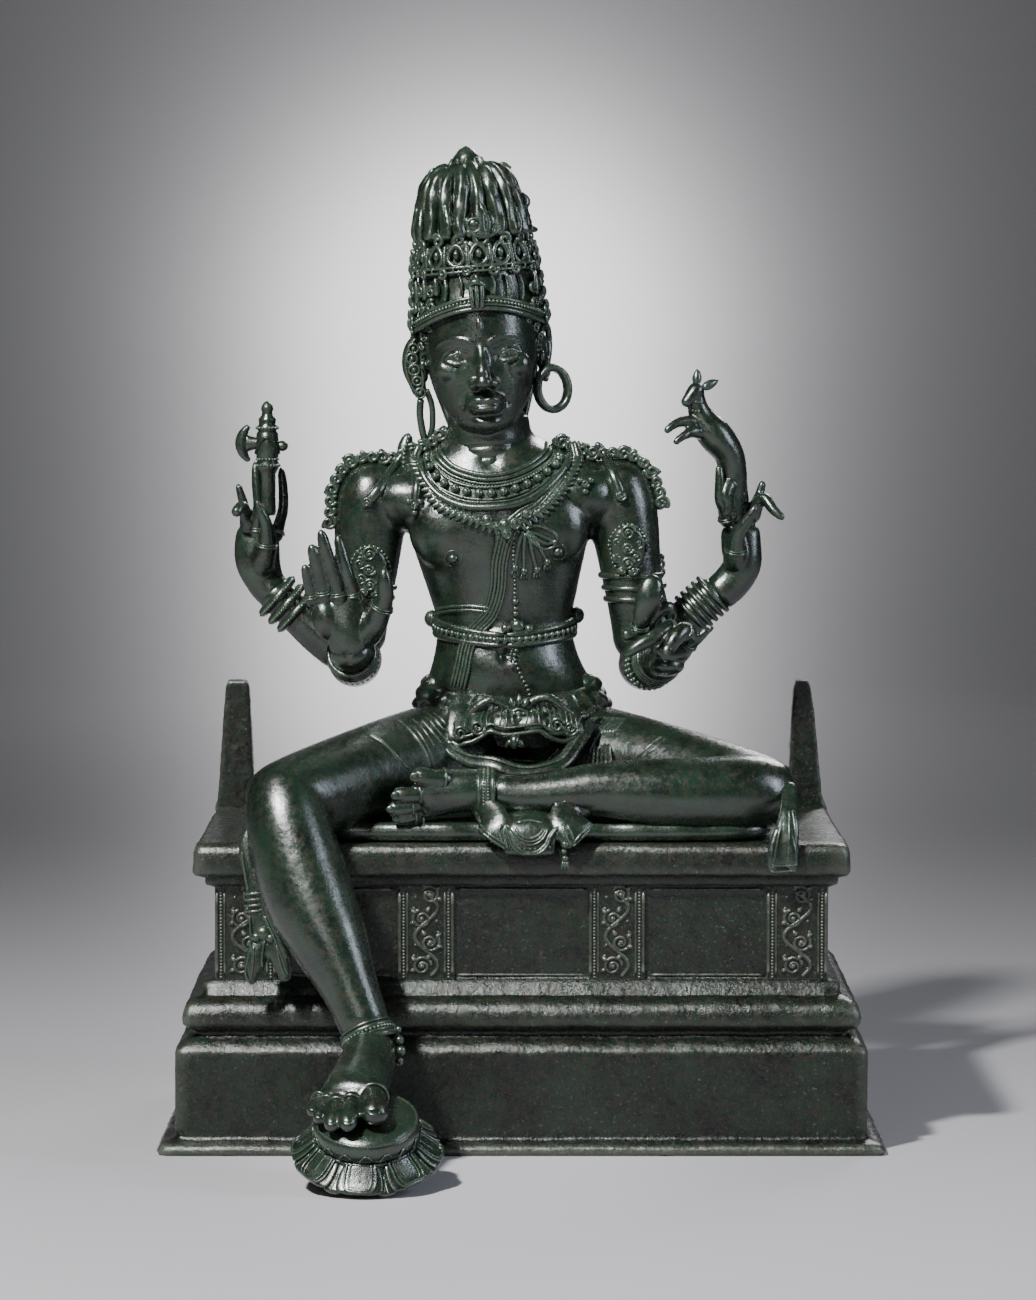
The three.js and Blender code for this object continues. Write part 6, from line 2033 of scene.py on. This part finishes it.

# %% [markdown]
# The paper's colour holds a painted pool of light round a point behind the head, which falls off to a painted
# darker grey. The painted bright patch is a cone that opens towards the wall, so it keeps its shape on the
# floor, the bend and the wall. Two planes of different greys would show a line where they meet.

# %% Backdrop
FLOOR_HALF, FLOOR_FRONT = 7.0, -7.0
BEND_START, BEND_RADIUS, BEND_STEPS = 4.6, 1.6, 12
WALL, WALL_TOP = 6.2, 7.0
paper = bmesh.new()
edge = [paper.verts.new((side * FLOOR_HALF, FLOOR_FRONT, 0)) for side in (-1, 1)]
line = [paper.edges.new(edge)]
sweep = [(BEND_START, 0.0)]
for k in range(1, BEND_STEPS + 1):
    angle = radians(90 * k / BEND_STEPS)
    sweep.append((BEND_START + BEND_RADIUS * sin(angle), BEND_RADIUS - BEND_RADIUS * cos(angle)))
sweep.append((WALL, WALL_TOP))
for y, z in sweep:
    made = bmesh.ops.extrude_edge_only(paper, edges=line)["geom"]
    line = [e for e in made if isinstance(e, bmesh.types.BMEdge)]
    for vertex in [v for v in made if isinstance(v, bmesh.types.BMVert)]:
        vertex.co.y, vertex.co.z = y, z
bmesh.ops.recalc_face_normals(paper, faces=paper.faces)
paper_mesh = bpy.data.meshes.new("backdrop")
paper.to_mesh(paper_mesh)
paper.free()
paper_mesh.shade_smooth()
backdrop = bpy.data.objects.new("backdrop", paper_mesh)
bpy.context.scene.collection.objects.link(backdrop)

# %% Grey paper with painted light
# The bright patch on the paper is painted light: a cone of colour round a point behind the head.
PAINTED_LIGHT_HEIGHT = 0.729  # where the cone's axis runs
CONE_OPENS, CONE_AT_FIGURE = 0.1274, 0.5414  # its half width, for each metre back and at the figure
ASIDE, LOWER = 0.06, 0.07  # the bright point's place, in half widths
PAINTED_LIGHT_REACH, SHARPNESS = 0.345, 4.0
matt = bpy.data.materials.new("grey_paper_painted_light")
matt.use_nodes = True
tree = matt.node_tree
place = node(tree, "ShaderNodeTexCoord").outputs["Object"]
x, y, z = node(tree, "ShaderNodeSeparateXYZ", {0: place}).outputs
half = sums(tree, "MULTIPLY_ADD", y, CONE_OPENS, CONE_AT_FIGURE)
beside_it = sums(tree, "ADD", sums(tree, "DIVIDE", x, half), ASIDE)
above_it = sums(tree, "ADD", sums(tree, "DIVIDE", sums(tree, "SUBTRACT", z, PAINTED_LIGHT_HEIGHT), half), LOWER)
flat = node(tree, "ShaderNodeCombineXYZ", {0: beside_it, 2: sums(tree, "MAXIMUM", above_it, 0.0)}).outputs[0]
away = node(tree, "ShaderNodeVectorMath", {0: flat}, operation="LENGTH").outputs["Value"]
fall = sums(tree, "POWER", sums(tree, "MULTIPLY", away, 1 / PAINTED_LIGHT_REACH), SHARPNESS)
halo = sums(tree, "DIVIDE", 1.0, sums(tree, "ADD", fall, 1.0))
# Painted light: pale grey round the point behind the head, falling off to a painted darker grey away from it.
painted_light_grey = painted(tree, halo, "#38383a", "#f6f5f8")
behind = remapped(tree, y, -1.0, 2.6, interpolation_type="SMOOTHSTEP")
# The painted light fades into the plain floor grey towards the front.
floor_grey_and_painted_light = painted(tree, behind, "#a3a2a5", painted_light_grey)
tree.links.new(floor_grey_and_painted_light, tree.nodes["Principled BSDF"].inputs["Base Color"])
tree.nodes["Principled BSDF"].inputs["Roughness"].default_value = 0.9
paper_mesh.materials.append(matt)
print("paper", 2 * FLOOR_HALF, "m wide,", WALL_TOP, "m tall")


# %% Lights
def softbox(name, place, aim, size, watts, tint="#ffffff"):
    """A rectangular area light that looks at a point."""
    data = bpy.data.lights.new(name, "AREA")
    data.shape = "RECTANGLE"
    data.size, data.size_y = size
    data.energy = watts
    data.color = colour(tint)[:3]
    lamp = bpy.data.objects.new(name, data)
    lamp.location = place
    lamp.rotation_euler = (Vector(aim) - Vector(place)).to_track_quat("-Z", "Y").to_euler()
    bpy.context.scene.collection.objects.link(lamp)


ROOM_LIGHT = 0.09
softbox("key", (-1.4, -2.2, 2.95), (0, 0, 0.4), (0.26, 0.26), 300)
softbox("front", (-0.6, -3.2, 1.3), (0, 0, 0.4), (0.4, 0.5), 7)
softbox("side", (2.2, -0.9, 1.4), (0, 0, 0.5), (0.3, 1.3), 30, "#e6edff")
softbox("back", (1.3, 3.4, 2.6), (0, 0, 0.5), (1.2, 1.2), 55)
softbox("halo", (0.0, 4.4, 2.9), (-0.15, 6.2, 0.9), (0.6, 0.4), 120)
world = bpy.data.worlds.new("room")
world.use_nodes = True
room = world.node_tree.nodes["Background"]
room.inputs[0].default_value = colour("#b9bcc2")
room.inputs[1].default_value = ROOM_LIGHT
bpy.context.scene.world = world
print("lights", [lamp.name for lamp in bpy.data.lights])

# %% [markdown]
# ## The triangle count
#
# The triangles of all the pieces are added up and printed, with the piece that has the most.

# %% Triangle count
total = sum(count for _, count in made_pieces)
print(len(made_pieces), "pieces,", total, "triangles, most in", max(made_pieces, key=lambda p: p[1]))
